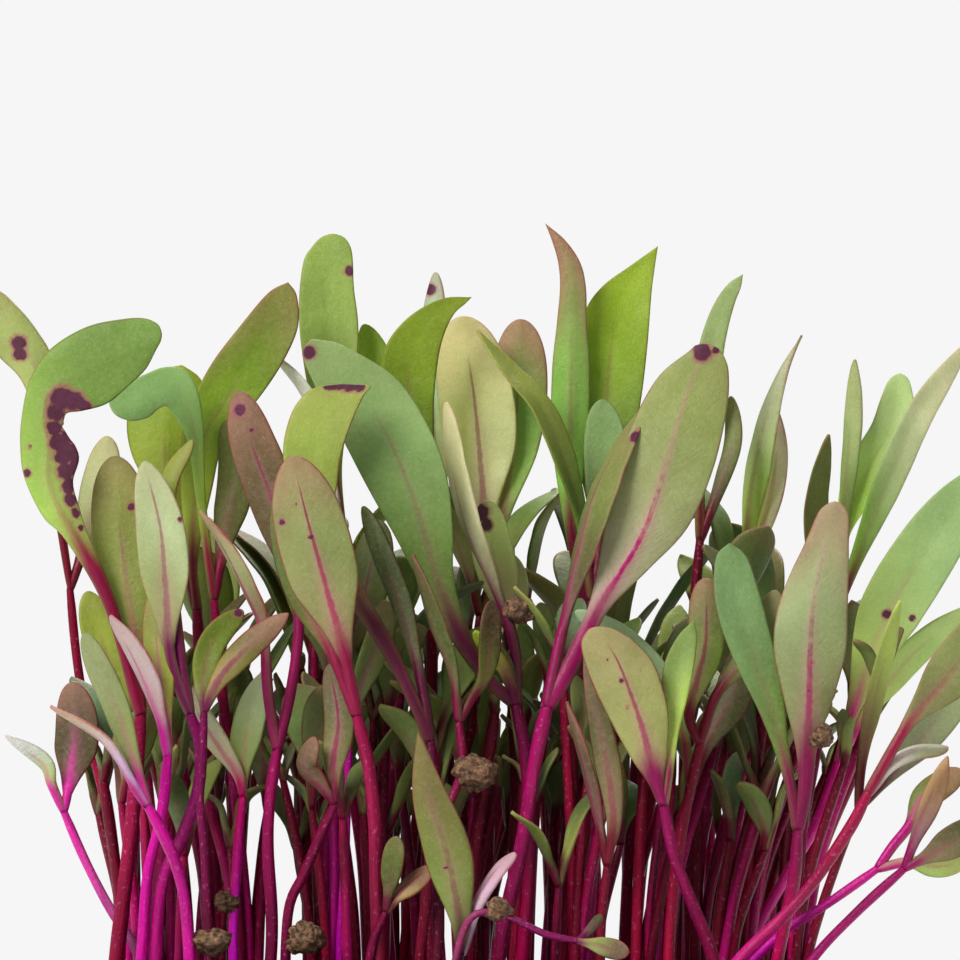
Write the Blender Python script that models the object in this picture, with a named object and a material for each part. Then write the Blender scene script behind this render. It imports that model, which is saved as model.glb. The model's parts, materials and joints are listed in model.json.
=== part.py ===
"""Beet microgreens in a small plastic tray: tray, soil, and tufts of seedlings in metres, +Z up.

The seedlings in front are drawn in a front view. The drawing is 960 units wide and high, with y
down, and 12.5 of its units make 1 mm in the middle of the tray. A point drawn there is set at a
depth behind or before the middle, and it is moved along its line of sight, so that the drawing
keeps its look at any depth. More seedlings grow between them by a rule with seeded draws.
"""

import math

import bpy
import numpy as np
from mathutils.bvhtree import BVHTree

MM = 0.001

# Tray
BASE_HALF = (28.0, 17.5)
SOIL_HALF = (31.6, 21.1)
WALL = 1.0
FLOOR = 1.2
RIM_TOP = 20.0
CORNER = 8.0
RING_POINTS = 24

# Soil
SOIL_TOP = 19.3
SOIL_GAP = 0.3
RELIEF = 0.55
HOLE_RADIUS = 1.85
HOLE_SIDES = 6
HOLE_DEPTH = 6.8
ROOT_END = -6.3
STEM_APART = 0.7
HOLE_SPACING = 4.2

# Front view
VIEW_DISTANCE = 600.0
VIEW_X = 4.0
EYE = SOIL_TOP + 41.6
DRAWING_MIDDLE = 480
UNIT = 0.08
SOIL_LINE = 1000

# Seedlings
CLEARANCE = 0.34
VARIANTS = 90
SEED = 20
BLADE_HALF = 0.42
STALK_RADIUS = 0.5
SLIM = 0.5
FILLERS = 80
MOST_TUFTS = 58
LEAN = np.array((0.0, 1.0, 0.0))


def leaf(points, width, away=0.0, turn=0.0, stalk=0.3, belly=0.62, blunt=0.55, cup=0.2):
    """One seed leaf: its midrib's drawn points from the stem's top to the tip, its width in
    drawing units, how far the tip is from the viewer past the stem's top, the blade's turn in
    degrees, the stalk's share of the length, the widest place and how blunt the tip is."""
    return {
        "points": points,
        "width": width,
        "away": away,
        "turn": turn,
        "stalk": stalk,
        "belly": belly,
        "blunt": blunt,
        "cup": cup,
    }


def seedling(stem, thick, back, *leaves):
    """One seedling: the stem's drawn points down from its top, its thickness in drawing units,
    how far its top stands behind the root, and its leaves."""
    return {"stem": stem, "thick": thick, "back": back, "leaves": leaves}


# Each tuft: where its root is drawn, its depth in mm, its seedlings
TUFTS = [
    (492, -8.0, [
        seedling([(547, 707), (535, 762), (521, 850), (503, 930)], 17, -3.0,
                 leaf([(566, 668), (592, 618), (622, 560), (664, 462), (713, 346)], 88, 2.0, 8,
                      0.24, 0.62, 0.6, 0.12),
                 leaf([(556, 660), (572, 590), (592, 512), (614, 458), (642, 411)], 60, 3.0, 66,
                      0.3, 0.55, 0.7)),
    ]),
    (373, -14.0, [
        seedling([(357, 716), (369, 768), (375, 828), (376, 890)], 17, -1.0,
                 leaf([(344, 650), (326, 585), (308, 520), (292, 456)], 72, -1.0, 4,
                      0.26, 0.56, 0.55, 0.12),
                 leaf([(333, 655), (306, 600), (290, 540), (281, 485)], 44, 2.5, 20, 0.3)),
        seedling([(386, 912), (372, 948)], 11, -1.5,
                 leaf([(390, 882), (397, 836)], 24, -0.5, 200, 0.2),
                 leaf([(402, 893), (431, 867)], 26, 1.0, 40, 0.2, 0.6)),
    ]),
    (768, -9.5, [
        seedling([(798, 830), (794, 880), (785, 922)], 16, -2.5,
                 leaf([(806, 780), (808, 720), (811, 645), (820, 570), (833, 502)], 76, -1.0, 3,
                      0.24, 0.5, 0.75, 0.12),
                 leaf([(794, 800), (775, 742), (754, 680), (738, 612), (729, 543)], 50, 1.5, 184,
                      0.22, 0.6, 0.6, 0.12)),
    ]),
    (726, -13.0, [
        seedling([(664, 806), (674, 855), (692, 903), (712, 955)], 14, -1.0,
                 leaf([(657, 770), (640, 722), (618, 670), (600, 626)], 56, -1.0, 2,
                      0.2, 0.66, 0.5, 0.1),
                 leaf([(668, 762), (676, 695), (695, 621)], 34, 2.0, 190, 0.24, 0.5, 0.7)),
    ]),
    (520, -3.5, [
        seedling([(516, 705), (526, 760), (530, 860), (524, 950)], 17, -2.0,
                 leaf([(488, 680), (462, 634), (439, 575), (402, 482), (362, 409), (318, 343)],
                      86, -2.0, 176, 0.26, 0.62, 0.55, 0.14),
                 leaf([(514, 643), (493, 582), (467, 520), (453, 462), (446, 402)], 44, 3.5, 62,
                      0.34, 0.6, 0.6),
                 leaf([(506, 672), (489, 650), (474, 631)], 17, -1.6, 20, 0.2),
                 leaf([(509, 668), (500, 650), (493, 634)], 15, -0.4, 50, 0.2)),
    ]),
    (436, -10.0, [
        seedling([(430, 742), (436, 800), (438, 880), (437, 955)], 15, 0.0,
                 leaf([(418, 711), (391, 653), (356, 588), (320, 525), (311, 466), (345, 383)],
                      48, 0.0, 186, 0.4, 0.6, 0.45, 0.1),
                 leaf([(423, 690), (404, 612), (384, 560), (363, 506)], 26, 2.0, 30, 0.3)),
        seedling([(459, 722), (462, 770), (446, 815), (437, 880)], 12, 1.0,
                 leaf([(453, 672), (436, 626), (413, 554)], 34, -1.0, 64, 0.15, 0.5, 0.9),
                 leaf([(470, 700), (486, 670), (492, 600)], 26, 3.0, 150, 0.3)),
    ]),
    (202, -15.5, [
        seedling([(148, 806), (162, 832), (177, 868), (186, 913)], 14, -1.0,
                 leaf([(137, 770), (116, 706), (98, 665), (84, 633)], 27, 0.5, 186, 0.2, 0.6, 0.5),
                 leaf([(134, 785), (120, 760), (98, 735), (50, 706)], 24, -1.5, 68, 0.2, 0.5, 1.0)),
        seedling([(204, 712), (202, 765), (200, 806), (205, 862)], 11, 2.0,
                 leaf([(220, 678), (250, 645), (289, 613)], 27, -1.5, 6, 0.05, 0.55, 0.75, 0.3),
                 leaf([(203, 678), (214, 640), (243, 610)], 28, 1.6, 176, 0.1, 0.5, 0.5, 0.3)),
    ]),
    (146, -11.5, [
        seedling([(168, 756), (162, 812), (148, 873), (143, 940)], 14, -0.6,
                 leaf([(160, 716), (140, 665), (110, 615)], 32, -1.5, 48, 0.2, 0.5, 0.7, 0.3),
                 leaf([(164, 700), (158, 650), (154, 590)], 30, 2.4, 10, 0.2, 0.6, 0.55)),
        seedling([(190, 714), (200, 745), (198, 790), (182, 838), (160, 893)], 15, 0.6,
                 leaf([(178, 684), (169, 646), (166, 590), (160, 525), (144, 461)], 50, -0.8, 184,
                      0.34, 0.5, 0.62, 0.14),
                 leaf([(180, 650), (172, 575), (166, 490), (193, 440)], 24, 2.6, 30, 0.42)),
    ]),
    (276, -9.5, [
        seedling([(277, 750), (270, 800), (268, 850), (272, 930)], 15, 0.4,
                 leaf([(291, 690), (299, 622), (292, 560), (271, 495), (251, 440), (238, 391)],
                      50, 2.0, 10, 0.44, 0.62, 0.5, 0.16),
                 leaf([(268, 692), (263, 628), (248, 590), (226, 548), (200, 510)], 30, -1.8, 60,
                      0.42, 0.5, 0.9, 0.3)),
        seedling([(335, 804), (322, 832), (304, 874), (288, 914)], 13, -2.6,
                 leaf([(334, 765), (339, 718), (329, 664)], 31, 0.5, 12, 0.1, 0.55, 0.6),
                 leaf([(322, 786), (305, 765), (316, 737)], 28, -1.2, 40, 0.1, 0.6, 0.6, 0.35)),
    ]),
    (236, -12.0, [
        seedling([(243, 796), (239, 832), (236, 880), (233, 940)], 12, -1.0,
                 leaf([(237, 772), (214, 738), (197, 708), (202, 681)], 25, -1.0, 14, 0.1, 0.6,
                      0.5, 0.25),
                 leaf([(243, 760), (250, 720), (264, 671)], 33, 1.0, 192, 0.1, 0.5, 0.75)),
    ]),
    (455, -16.5, [
        seedling([(461, 955)], 15, -0.8,
                 leaf([(460, 918), (447, 852), (428, 790), (418, 729)], 47, -0.8, 10, 0.04, 0.4,
                      1.2, 0.16),
                 leaf([(478, 905), (497, 872), (516, 853)], 20, 1.6, 50, 0.3)),
        seedling([(578, 941), (545, 934), (506, 916), (474, 915), (458, 950)], 9, -2.4,
                 leaf([(600, 946), (629, 952)], 22, -0.8, 170, 0.1),
                 leaf([(590, 930), (601, 915)], 12, 0.8, 20, 0.2)),
    ]),
    (695, -17.5, [
        seedling([(868, 793), (850, 828), (812, 884), (779, 921), (738, 962)], 15, -1.0,
                 leaf([(906, 727), (936, 690), (968, 652), (1010, 600)], 52, 1.0, 174, 0.36, 0.6,
                      0.6, 0.2),
                 leaf([(892, 765), (915, 752), (948, 748)], 26, 3.0, 60, 0.2)),
    ]),
    (775, -14.0, [
        seedling([(904, 869), (858, 911), (812, 960)], 11, -1.0,
                 leaf([(917, 835), (933, 795), (948, 756)], 26, -0.6, 40, 0.14, 0.55, 0.9),
                 leaf([(930, 855), (960, 838), (992, 824)], 34, 1.4, 176, 0.16)),
    ]),
    (714, -8.0, [
        seedling([(877, 869), (827, 904), (789, 928), (752, 962)], 12, -3.0,
                 leaf([(893, 846), (909, 826), (924, 797), (962, 770)], 32, 2.5, 30, 0.5),
                 leaf([(908, 862), (940, 866), (972, 856)], 26, 1.0, 150, 0.3)),
    ]),
    (112, -6.0, [
        seedling([(141, 714), (134, 800), (128, 858), (117, 955)], 17, -1.0,
                 leaf([(119, 642), (90, 572), (58, 508), (43, 432), (60, 366), (106, 337),
                       (161, 329)], 60, -2.0, 4, 0.4, 0.58, 0.45, 0.08),
                 leaf([(137, 650), (124, 560), (114, 456)], 60, 2.6, 8, 0.24, 0.62, 0.5, 0.12)),
    ]),
    (156, -3.0, [
        seedling([(64, 812), (84, 858), (108, 905), (138, 955)], 11, -3.0,
                 leaf([(52, 785), (44, 762), (5, 735)], 22, -1.0, 40, 0.3, 0.4, 1.0),
                 leaf([(68, 790), (76, 735), (72, 682)], 46, 1.2, 14, 0.2, 0.5, 0.5)),
        seedling([(133, 742), (142, 800), (146, 870), (150, 950)], 11, 1.5,
                 leaf([(121, 690), (102, 642), (87, 591)], 36, -0.6, 172, 0.15),
                 leaf([(147, 700), (158, 640), (172, 600)], 30, 1.6, 20, 0.3)),
    ]),
    (668, -8.0, [
        seedling([(700, 744), (690, 790), (678, 855), (670, 930)], 13, -0.6,
                 leaf([(689, 715), (697, 680), (706, 640), (706, 578)], 38, -1.0, 2, 0.24, 0.6,
                      0.45, 0.3),
                 leaf([(715, 698), (738, 668), (762, 645), (776, 590)], 34, 2.8, 20, 0.4)),
    ]),
    (600, -12.0, [
        seedling([(607, 866), (601, 930)], 11, -0.6,
                 leaf([(614, 815), (603, 740), (584, 655)], 27, -0.8, 14, 0.12, 0.4, 0.9),
                 leaf([(597, 810), (583, 755), (567, 701)], 22, 1.2, 56, 0.14, 0.5, 1.0)),
    ]),
    (644, -4.0, [
        seedling([(690, 790), (672, 850), (655, 930)], 13, -1.0,
                 leaf([(684, 735), (664, 682), (624, 640), (575, 611)], 28, -1.0, 196, 0.25),
                 leaf([(708, 742), (734, 690), (745, 640)], 40, 3.0, 18, 0.24)),
    ]),
    (560, 6.0, [
        seedling([(586, 606), (580, 700), (570, 800), (562, 920)], 15, 1.0,
                 leaf([(594, 530), (600, 450), (616, 350), (658, 246)], 66, 2.0, 172, 0.2, 0.5,
                      1.0, 0.16),
                 leaf([(574, 520), (565, 430), (571, 325), (564, 268), (545, 222)], 46, -2.0, 50,
                      0.2, 0.5, 1.1, 0.2)),
    ]),
    (592, 1.0, [
        seedling([(592, 600), (598, 700), (597, 800), (593, 920)], 14, 1.0,
                 leaf([(578, 508), (545, 416), (510, 372), (477, 330)], 40, -1.4, 126, 0.16, 0.5,
                      0.9),
                 leaf([(602, 530), (606, 470), (602, 399)], 44, 2.4, 180, 0.26)),
    ]),
    (512, 2.5, [
        seedling([(508, 652), (513, 720), (515, 800), (512, 920)], 13, 1.0,
                 leaf([(502, 592), (492, 548), (487, 500)], 42, -1.4, 184, 0.2, 0.55, 0.5),
                 leaf([(514, 612), (516, 585), (508, 552)], 26, 1.8, 160, 0.2)),
    ]),
    (482, 13.0, [
        seedling([(490, 580), (494, 680), (490, 800), (484, 920)], 15, 1.0,
                 leaf([(484, 500), (476, 405), (461, 316)], 80, -1.0, 12, 0.2, 0.6, 0.5, 0.12),
                 leaf([(507, 490), (517, 410), (521, 319)], 60, 2.6, 10, 0.2, 0.66, 0.5, 0.12)),
    ]),
    (424, 8.0, [
        seedling([(430, 580), (432, 680), (430, 800), (426, 920)], 15, 1.0,
                 leaf([(424, 490), (407, 412), (408, 345), (436, 309), (471, 297)], 50, -1.4, 172,
                      0.2, 0.55, 0.7, 0.14),
                 leaf([(414, 500), (388, 410), (364, 324)], 44, 2.4, 20, 0.2)),
    ]),
    (402, 15.0, [
        seedling([(438, 600), (430, 700), (416, 820), (406, 930)], 13, 1.0,
                 leaf([(438, 480), (432, 360), (436, 272)], 34, 1.0, 30, 0.2),
                 leaf([(455, 520), (492, 440), (512, 400)], 40, -1.0, 190, 0.2)),
    ]),
    (222, 4.0, [
        seedling([(197, 610), (202, 690), (208, 780), (218, 920)], 15, 0.4,
                 leaf([(188, 530), (202, 442), (234, 384), (270, 330), (290, 284)], 60, -1.4, 172,
                      0.18, 0.55, 0.6, 0.14),
                 leaf([(184, 530), (168, 460), (163, 405), (182, 364)], 62, 2.6, 14, 0.2, 0.6,
                      0.45)),
    ]),
    (318, 6.0, [
        seedling([(344, 560), (342, 680), (332, 800), (321, 920)], 15, 1.0,
                 leaf([(336, 450), (330, 345), (336, 234)], 58, 1.6, 176, 0.2, 0.64, 0.5, 0.12),
                 leaf([(330, 470), (308, 398), (271, 351)], 30, -2.0, 66, 0.3, 0.6, 0.8)),
    ]),
    (250, 0.0, [
        seedling([(214, 600), (222, 690), (236, 800), (247, 920)], 13, 1.0,
                 leaf([(198, 500), (186, 405), (168, 371), (140, 377), (111, 404)], 42, -2.0, 176,
                      0.2, 0.66, 0.5),
                 leaf([(226, 530), (236, 470), (226, 420)], 40, 2.2, 16, 0.2)),
    ]),
    (128, 3.0, [
        seedling([(70, 590), (77, 660), (90, 740), (112, 840)], 11, 0.6,
                 leaf([(58, 500), (36, 402), (-4, 326), (-42, 288)], 52, 1.0, 10, 0.22, 0.55, 0.6),
                 leaf([(86, 540), (98, 486), (108, 436)], 40, 2.6, 20, 0.2)),
    ]),
    (690, 5.0, [
        seedling([(700, 540), (692, 640), (688, 760), (689, 900)], 14, 1.0,
                 leaf([(703, 450), (716, 345), (743, 275)], 30, 1.0, 176, 0.2, 0.6, 0.7),
                 leaf([(722, 480), (733, 440), (731, 396)], 32, 2.6, 20, 0.2)),
    ]),
    (722, 8.0, [
        seedling([(745, 580), (738, 680), (730, 800), (724, 920)], 13, 1.0,
                 leaf([(752, 500), (766, 425), (782, 376), (802, 335)], 34, -1.0, 40, 0.1, 0.36,
                      1.6),
                 leaf([(766, 520), (777, 460), (774, 402)], 36, 2.4, 20, 0.16, 0.5, 0.7)),
    ]),
    (760, 13.0, [
        seedling([(842, 580), (824, 680), (796, 800), (770, 920)], 14, 1.0,
                 leaf([(862, 500), (883, 435), (899, 372)], 60, 1.0, 174, 0.2, 0.6, 0.5),
                 leaf([(846, 500), (852, 430), (855, 359)], 24, -2.0, 40, 0.2, 0.6, 0.7)),
    ]),
    (738, 3.0, [
        seedling([(838, 762), (818, 820), (784, 880), (752, 940)], 13, 1.0,
                 leaf([(856, 700), (884, 622), (928, 548), (984, 468)], 66, -1.0, 176, 0.16, 0.55,
                      0.6, 0.16),
                 leaf([(872, 704), (918, 648), (984, 602)], 36, 2.0, 150, 0.2, 0.5, 0.7)),
    ]),
    (786, 10.0, [
        seedling([(826, 640), (818, 740), (800, 840), (790, 930)], 13, 1.0,
                 leaf([(816, 560), (815, 500), (829, 434)], 40, -1.0, 130, 0.2, 0.5, 0.8),
                 leaf([(864, 540), (916, 420), (972, 338)], 34, 2.0, 160, 0.2, 0.5, 0.8)),
    ]),
    (800, -4.0, [
        seedling([(858, 810), (838, 860), (812, 940)], 11, -1.0,
                 leaf([(884, 782), (916, 745), (950, 700), (972, 660)], 40, -0.6, 178, 0.2),
                 leaf([(862, 760), (876, 690), (900, 600)], 26, 2.6, 140, 0.2, 0.5, 0.8)),
    ]),
    (333, -3.0, [
        seedling([(334, 700), (334, 800), (334, 900)], 14, 0.4,
                 leaf([(322, 640), (304, 590), (300, 530)], 40, -0.6, 168, 0.2),
                 leaf([(350, 640), (366, 590), (380, 520)], 44, 2.6, 14, 0.2)),
        seedling([(349, 740), (347, 800), (345, 870), (340, 950)], 11, -1.6,
                 leaf([(360, 690), (378, 640), (386, 600)], 30, -0.6, 160, 0.2),
                 leaf([(340, 690), (336, 640), (340, 600)], 26, 1.6, 30, 0.2)),
    ]),
]

# Corky seed husks: the tuft and seedling that each is stuck to, its drawn place and its radius
HUSKS = [
    (6, 1, (213, 938), 1.25),
    (9, 0, (226, 902), 1.0),
    (8, 1, (300, 935), 1.35),
    (4, 0, (522, 612), 1.3),
    (5, 1, (474, 772), 1.5),
    (10, 1, (498, 910), 1.0),
    (2, 0, (821, 735), 1.0),
]


def drawn(point, depth):
    """The point in mm that is seen at this place of the front view, at this depth."""
    spread = UNIT * (1 + depth / VIEW_DISTANCE)
    x = VIEW_X + (point[0] - DRAWING_MIDDLE) * spread
    z = EYE + (DRAWING_MIDDLE - point[1]) * spread
    return (x, depth, z)


def shades(start, end, count):
    """Depths from start to end, slow at first, as a leaf arches away."""
    share = np.linspace(0, 1, count)
    return start + (end - start) * share**1.4


def root_points(x, depth, number, count):
    """The stem's foot: upright out of the hole. Two stems of one seed ball rise side by side,
    and the second forks from the first one's root."""
    if count == 1:
        return [(x, depth, SOIL_TOP + ROOT_END), (x, depth, SOIL_TOP - 0.6)]
    first = x - STEM_APART
    second = x + STEM_APART
    if number == 0:
        return [(first, depth, SOIL_TOP + ROOT_END), (first, depth, SOIL_TOP - 0.6)]
    return [(first + 0.1, depth, SOIL_TOP + ROOT_END + 0.8),
            (second, depth, SOIL_TOP - 2.6),
            (second, depth, SOIL_TOP - 0.4)]


def front_tuft(index, variant):
    """A drawn tuft's crown and seedlings in mm. Every variant past the first draws a new depth
    for the tuft and new depths for its stem tops and leaf tips."""
    root, depth, seedlings = TUFTS[index]
    rng = np.random.default_rng([SEED, index, variant])
    reach = 0 if variant == 0 else 1
    depth = depth + reach * rng.uniform(-1, 1) * min(1.0 + 0.12 * variant, 8.0)
    depth = min(max(depth, -18.0), 18.0)
    x = drawn((root, SOIL_LINE), depth)[0]
    grown = []
    order = np.argsort([one["stem"][-1][0] for one in seedlings])
    for number, one in enumerate(seedlings):
        top_depth = depth + one["back"] + reach * rng.uniform(-1, 1) * 2.0
        fall = np.array([SOIL_LINE - point[1] for point in one["stem"]][::-1])
        share = np.clip(fall / fall[-1], 0, 1) ** 1.2
        path = [drawn(point, depth + (top_depth - depth) * s)
                for point, s in zip(one["stem"][::-1], share)]
        place = int(np.flatnonzero(order == number)[0])
        stem = root_points(x, depth, place, len(seedlings)) + path
        leaves = []
        for blade in one["leaves"]:
            tip_depth = top_depth + blade["away"] + reach * rng.uniform(-1, 1) * 2.4
            depths = shades(top_depth, tip_depth, len(blade["points"]) + 1)
            points = [path[-1]]
            points += [drawn(point, at) for point, at in zip(blade["points"], depths[1:])]
            leaves.append({
                "points": np.array(points),
                "half": blade["width"] * UNIT / 2,
                "turn": math.radians(blade["turn"]),
                "stalk": blade["stalk"],
                "belly": blade["belly"],
                "blunt": blade["blunt"],
                "cup": blade["cup"],
                "side": None,
                "fine": True,
            })
        grown.append({"stem": np.array(stem), "radius": one["thick"] * UNIT / 2, "leaves": leaves,
                      "fork": place > 0})
    return (x, depth), grown


def filler_tuft(index, variant):
    """A tuft of one or two seedlings grown by rule: a place on the soil, stems that lean outward
    and a little to the right, and two leaves that spread to opposite sides. It is lower towards
    the front, and smaller where many places have been tried."""
    rng = np.random.default_rng([SEED, 1000 + index, variant])
    x = rng.uniform(-23, 25)
    depth = rng.uniform(-12, 18)
    level = 0.5 + 0.5 * min((depth + 12) / 16, 1.0)
    grown = []
    count = 2 if variant < VARIANTS // 3 else 1
    small = 1.0 - 0.35 * variant / VARIANTS
    for number in range(count):
        height = (rng.uniform(17, 33) - 0.2 * abs(x)) * level
        lean = np.array((0.2 * max(x, -10) + rng.uniform(-1, 3.5),
                         0.22 * depth + rng.uniform(-3, 3)))
        lean = lean * height / 30
        top = np.array((x + lean[0], depth + lean[1], SOIL_TOP + height))
        middle = np.array((x + lean[0] * 0.35, depth + lean[1] * 0.35, SOIL_TOP + height * 0.5))
        stem = root_points(x, depth, number, count) + [tuple(middle), tuple(top)]
        around = rng.uniform(0, math.tau)
        leaves = []
        for half_turn in (0, math.pi):
            angle = around + half_turn + rng.uniform(-0.4, 0.4)
            out = np.array((math.cos(angle), math.sin(angle), 0))
            length = rng.uniform(12, 19) * small * level
            rise = math.radians(rng.uniform(52, 78))
            first = top + length * 0.3 * (out * math.cos(rise) * 0.7 + (0, 0, math.sin(rise)))
            second = first + length * 0.4 * (out * math.cos(rise) + (0, 0, math.sin(rise)))
            tip = second + length * 0.35 * (out * math.cos(rise - 0.4) + (0, 0, math.sin(rise - 0.4)))
            leaves.append({
                "points": np.array((top, first, second, tip)),
                "half": rng.uniform(1.7, 2.8) * small * level,
                "turn": rng.uniform(-0.4, 0.4),
                "stalk": 0.25,
                "belly": rng.uniform(0.5, 0.68),
                "blunt": rng.uniform(0.5, 0.8),
                "cup": 0.2,
                "side": np.array((math.sin(angle), -math.cos(angle), 0)),
                "fine": False,
            })
        radius = rng.uniform(0.42, 0.6)
        grown.append({"stem": np.array(stem), "radius": radius, "leaves": leaves,
                      "fork": number > 0})
    return (x, depth), grown


def smooth(points):
    """A dense smooth curve through the points: a Catmull-Rom spline with mirrored ends."""
    ends = (2 * points[0] - points[1], 2 * points[-1] - points[-2])
    knots = np.vstack((ends[0], points, ends[1]))
    t = np.linspace(0, 1, 13)[:-1, None]
    parts = []
    for i in range(len(points) - 1):
        a, b, c, d = knots[i:i + 4]
        parts.append(0.5 * (2 * b + (c - a) * t + (2 * a - 5 * b + 4 * c - d) * t**2
                            + (3 * b - a - 3 * c + d) * t**3))
    parts.append(points[-1:])
    return np.vstack(parts)


def walk(points, stations):
    """Places and unit directions on the smooth curve, at these shares of its length."""
    dense = smooth(points)
    steps = np.linalg.norm(np.diff(dense, axis=0), axis=1)
    share = np.concatenate(([0], np.cumsum(steps))) / steps.sum()
    ahead = np.gradient(dense, axis=0)
    place = np.column_stack([np.interp(stations, share, dense[:, i]) for i in range(3)])
    aim = np.column_stack([np.interp(stations, share, ahead[:, i]) for i in range(3)])
    return place, aim / np.linalg.norm(aim, axis=1)[:, None]


def across(aim, side, turn):
    """Unit directions across a blade and off its upper face. A drawn blade lies in the front
    view until it is turned; a blade grown by rule keeps its level cross direction."""
    if side is None:
        wide = np.cross(aim, LEAN)
    else:
        wide = side - aim * (aim @ side)[:, None]
    wide = wide / np.linalg.norm(wide, axis=1)[:, None]
    face = np.cross(wide, aim)
    turned = wide * np.cos(turn) + face * np.sin(turn)
    return turned, np.cross(turned, aim)


def blade_stations(blade):
    """Shares of the length at which the leaf has a section, and the tip's own share."""
    stalk = blade["stalk"]
    bends = len(blade["points"]) > 6
    if bends:
        on_blade = (0.14, 0.3, 0.46, 0.6, 0.74, 0.88, 0.96)
    elif blade["fine"]:
        on_blade = (0.22, 0.48, 0.74, 0.93)
    else:
        on_blade = (0.34, 0.8)
    stations = [0.0, stalk * 0.9]
    if stalk > 0.35:
        stations.insert(1, stalk * 0.45)
    stations += [stalk + (1 - stalk) * u for u in on_blade]
    return np.array(stations + [1.0])


def blade_sizes(blade, stations):
    """Half the width and half the thickness at each station: a round stalk, then a blade that
    is widest at its belly and closes to the tip as a power of what is left."""
    u = np.clip((stations - blade["stalk"] * 0.8) / (1 - blade["stalk"] * 0.8), 0, 1)
    belly = blade["belly"]
    blunt = blade["blunt"]
    rise = blunt * belly / (1 - belly)
    swell = (u / belly) ** rise * ((1 - u) / (1 - belly)) ** blunt
    stalk = STALK_RADIUS * (1 - u**3)
    half = stalk + np.maximum(blade["half"] - stalk, 0.1) * swell
    thick = BLADE_HALF + (STALK_RADIUS - BLADE_HALF) * (1 - u) ** 4
    return half, thick


def close_rings(rings, start, end):
    """Triangles between rings of equal counts, closed by a fan to a point at each end."""
    count, sides = rings.shape[:2]
    points = np.vstack((rings.reshape(-1, 3), [start], [end]))
    triangles = []
    for i in range(count - 1):
        for j in range(sides):
            a = i * sides + j
            b = i * sides + (j + 1) % sides
            triangles.append((a, b, b + sides))
            triangles.append((a, b + sides, a + sides))
    first = count * sides
    last = (count - 1) * sides
    for j in range(sides):
        k = (j + 1) % sides
        triangles.append((first, k, j))
        triangles.append((first + 1, last + j, last + k))
    return points, triangles


def section_rings(places, aims, side, turn, half, thick, cup):
    """Four-cornered sections: two edges lifted by the cup, and a ridge on both faces."""
    wide, face = across(aims, side, turn)
    lift = face * (cup * np.maximum(half - STALK_RADIUS, 0))[:, None]
    half = half[:, None]
    thick = thick[:, None]
    return np.stack((places + wide * half + lift, places + face * thick,
                     places - wide * half + lift, places - face * thick), axis=1)


def blade_rings(blade, grow):
    """The leaf's sections from the stem's top to just before the tip, and the tip."""
    stations = blade_stations(blade)
    places, aims = walk(blade["points"], stations)
    half, thick = blade_sizes(blade, stations)
    rings = section_rings(places, aims, blade["side"], blade["turn"], half + grow, thick + grow,
                          blade["cup"])
    return rings[:-1], places[-1] + aims[-1] * grow


def blade_solid(blade, grow):
    """A leaf that starts, slim, inside the stem's top."""
    rings, tip = blade_rings(blade, grow)
    rings[0] = rings[0].mean(axis=0) + (rings[0] - rings[0].mean(axis=0)) * SLIM
    return close_rings(rings, rings[0].mean(axis=0), tip)


def stem_solid(one, grow):
    """The stem, thickest at the soil, that runs on into its first leaf."""
    blade = one["leaves"][0]
    count = 6 if blade["fine"] else 5
    stations = np.linspace(0, 1, count)
    places, aims = walk(one["stem"], stations)
    _, leaf_aims = walk(blade["points"], np.array((0.0, 1.0)))
    aims[-1] = (aims[-1] + leaf_aims[0]) / np.linalg.norm(aims[-1] + leaf_aims[0])
    radii = one["radius"] * (1.16 - 0.16 * stations) + grow
    if one["fork"]:
        radii[0] = radii[0] * SLIM
    rings = section_rings(places, aims, blade["side"], blade["turn"], radii, radii, 0.0)
    leaf_part, tip = blade_rings(blade, grow)
    solid = close_rings(np.concatenate((rings, leaf_part[1:])), rings[0].mean(axis=0), tip)
    leaf_from = (count + 1) * 8
    return solid, leaf_from


def husk_solid(place, radius):
    """A corky husk: an eight-cornered lump, flattened, with uneven corners."""
    rng = np.random.default_rng([SEED, int(place[0] * 10) % 997])
    turn = rng.uniform(0, math.tau)
    rings = []
    for level, size in ((-0.62, 0.75), (0.1, 1.0), (0.7, 0.62)):
        angles = turn + np.arange(6) / 6 * math.tau
        spread = size * radius * rng.uniform(0.85, 1.1, 6)
        ring = np.column_stack((np.cos(angles) * spread, np.sin(angles) * spread,
                                level * radius * 0.85 + rng.uniform(-0.1, 0.1, 6)))
        rings.append(np.array(place) + ring)
    start = np.array(place) - (0, 0, radius * 0.9)
    end = np.array(place) + (0, 0, radius * 0.95)
    return close_rings(np.array(rings), start, end)


def husks_of(index, grown):
    """The tuft's husks in mm: each at the depth of the nearest stem or stalk seen beside it."""
    found = []
    for tuft, number, point, radius in HUSKS:
        if tuft != index:
            continue
        one = grown[number]
        lines = [smooth(one["stem"])] + [smooth(blade["points"]) for blade in one["leaves"]]
        line = np.vstack(lines)
        spread = 1 + line[:, 1] / VIEW_DISTANCE
        seen = np.column_stack(((line[:, 0] - VIEW_X) / spread, (line[:, 2] - EYE) / spread))
        aim = (np.array((point[0], DRAWING_MIDDLE * 2 - point[1])) - DRAWING_MIDDLE) * UNIT
        nearest = np.argmin(np.hypot(*(seen - aim).T))
        found.append((drawn(point, line[nearest, 1]), radius))
    return found


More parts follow.
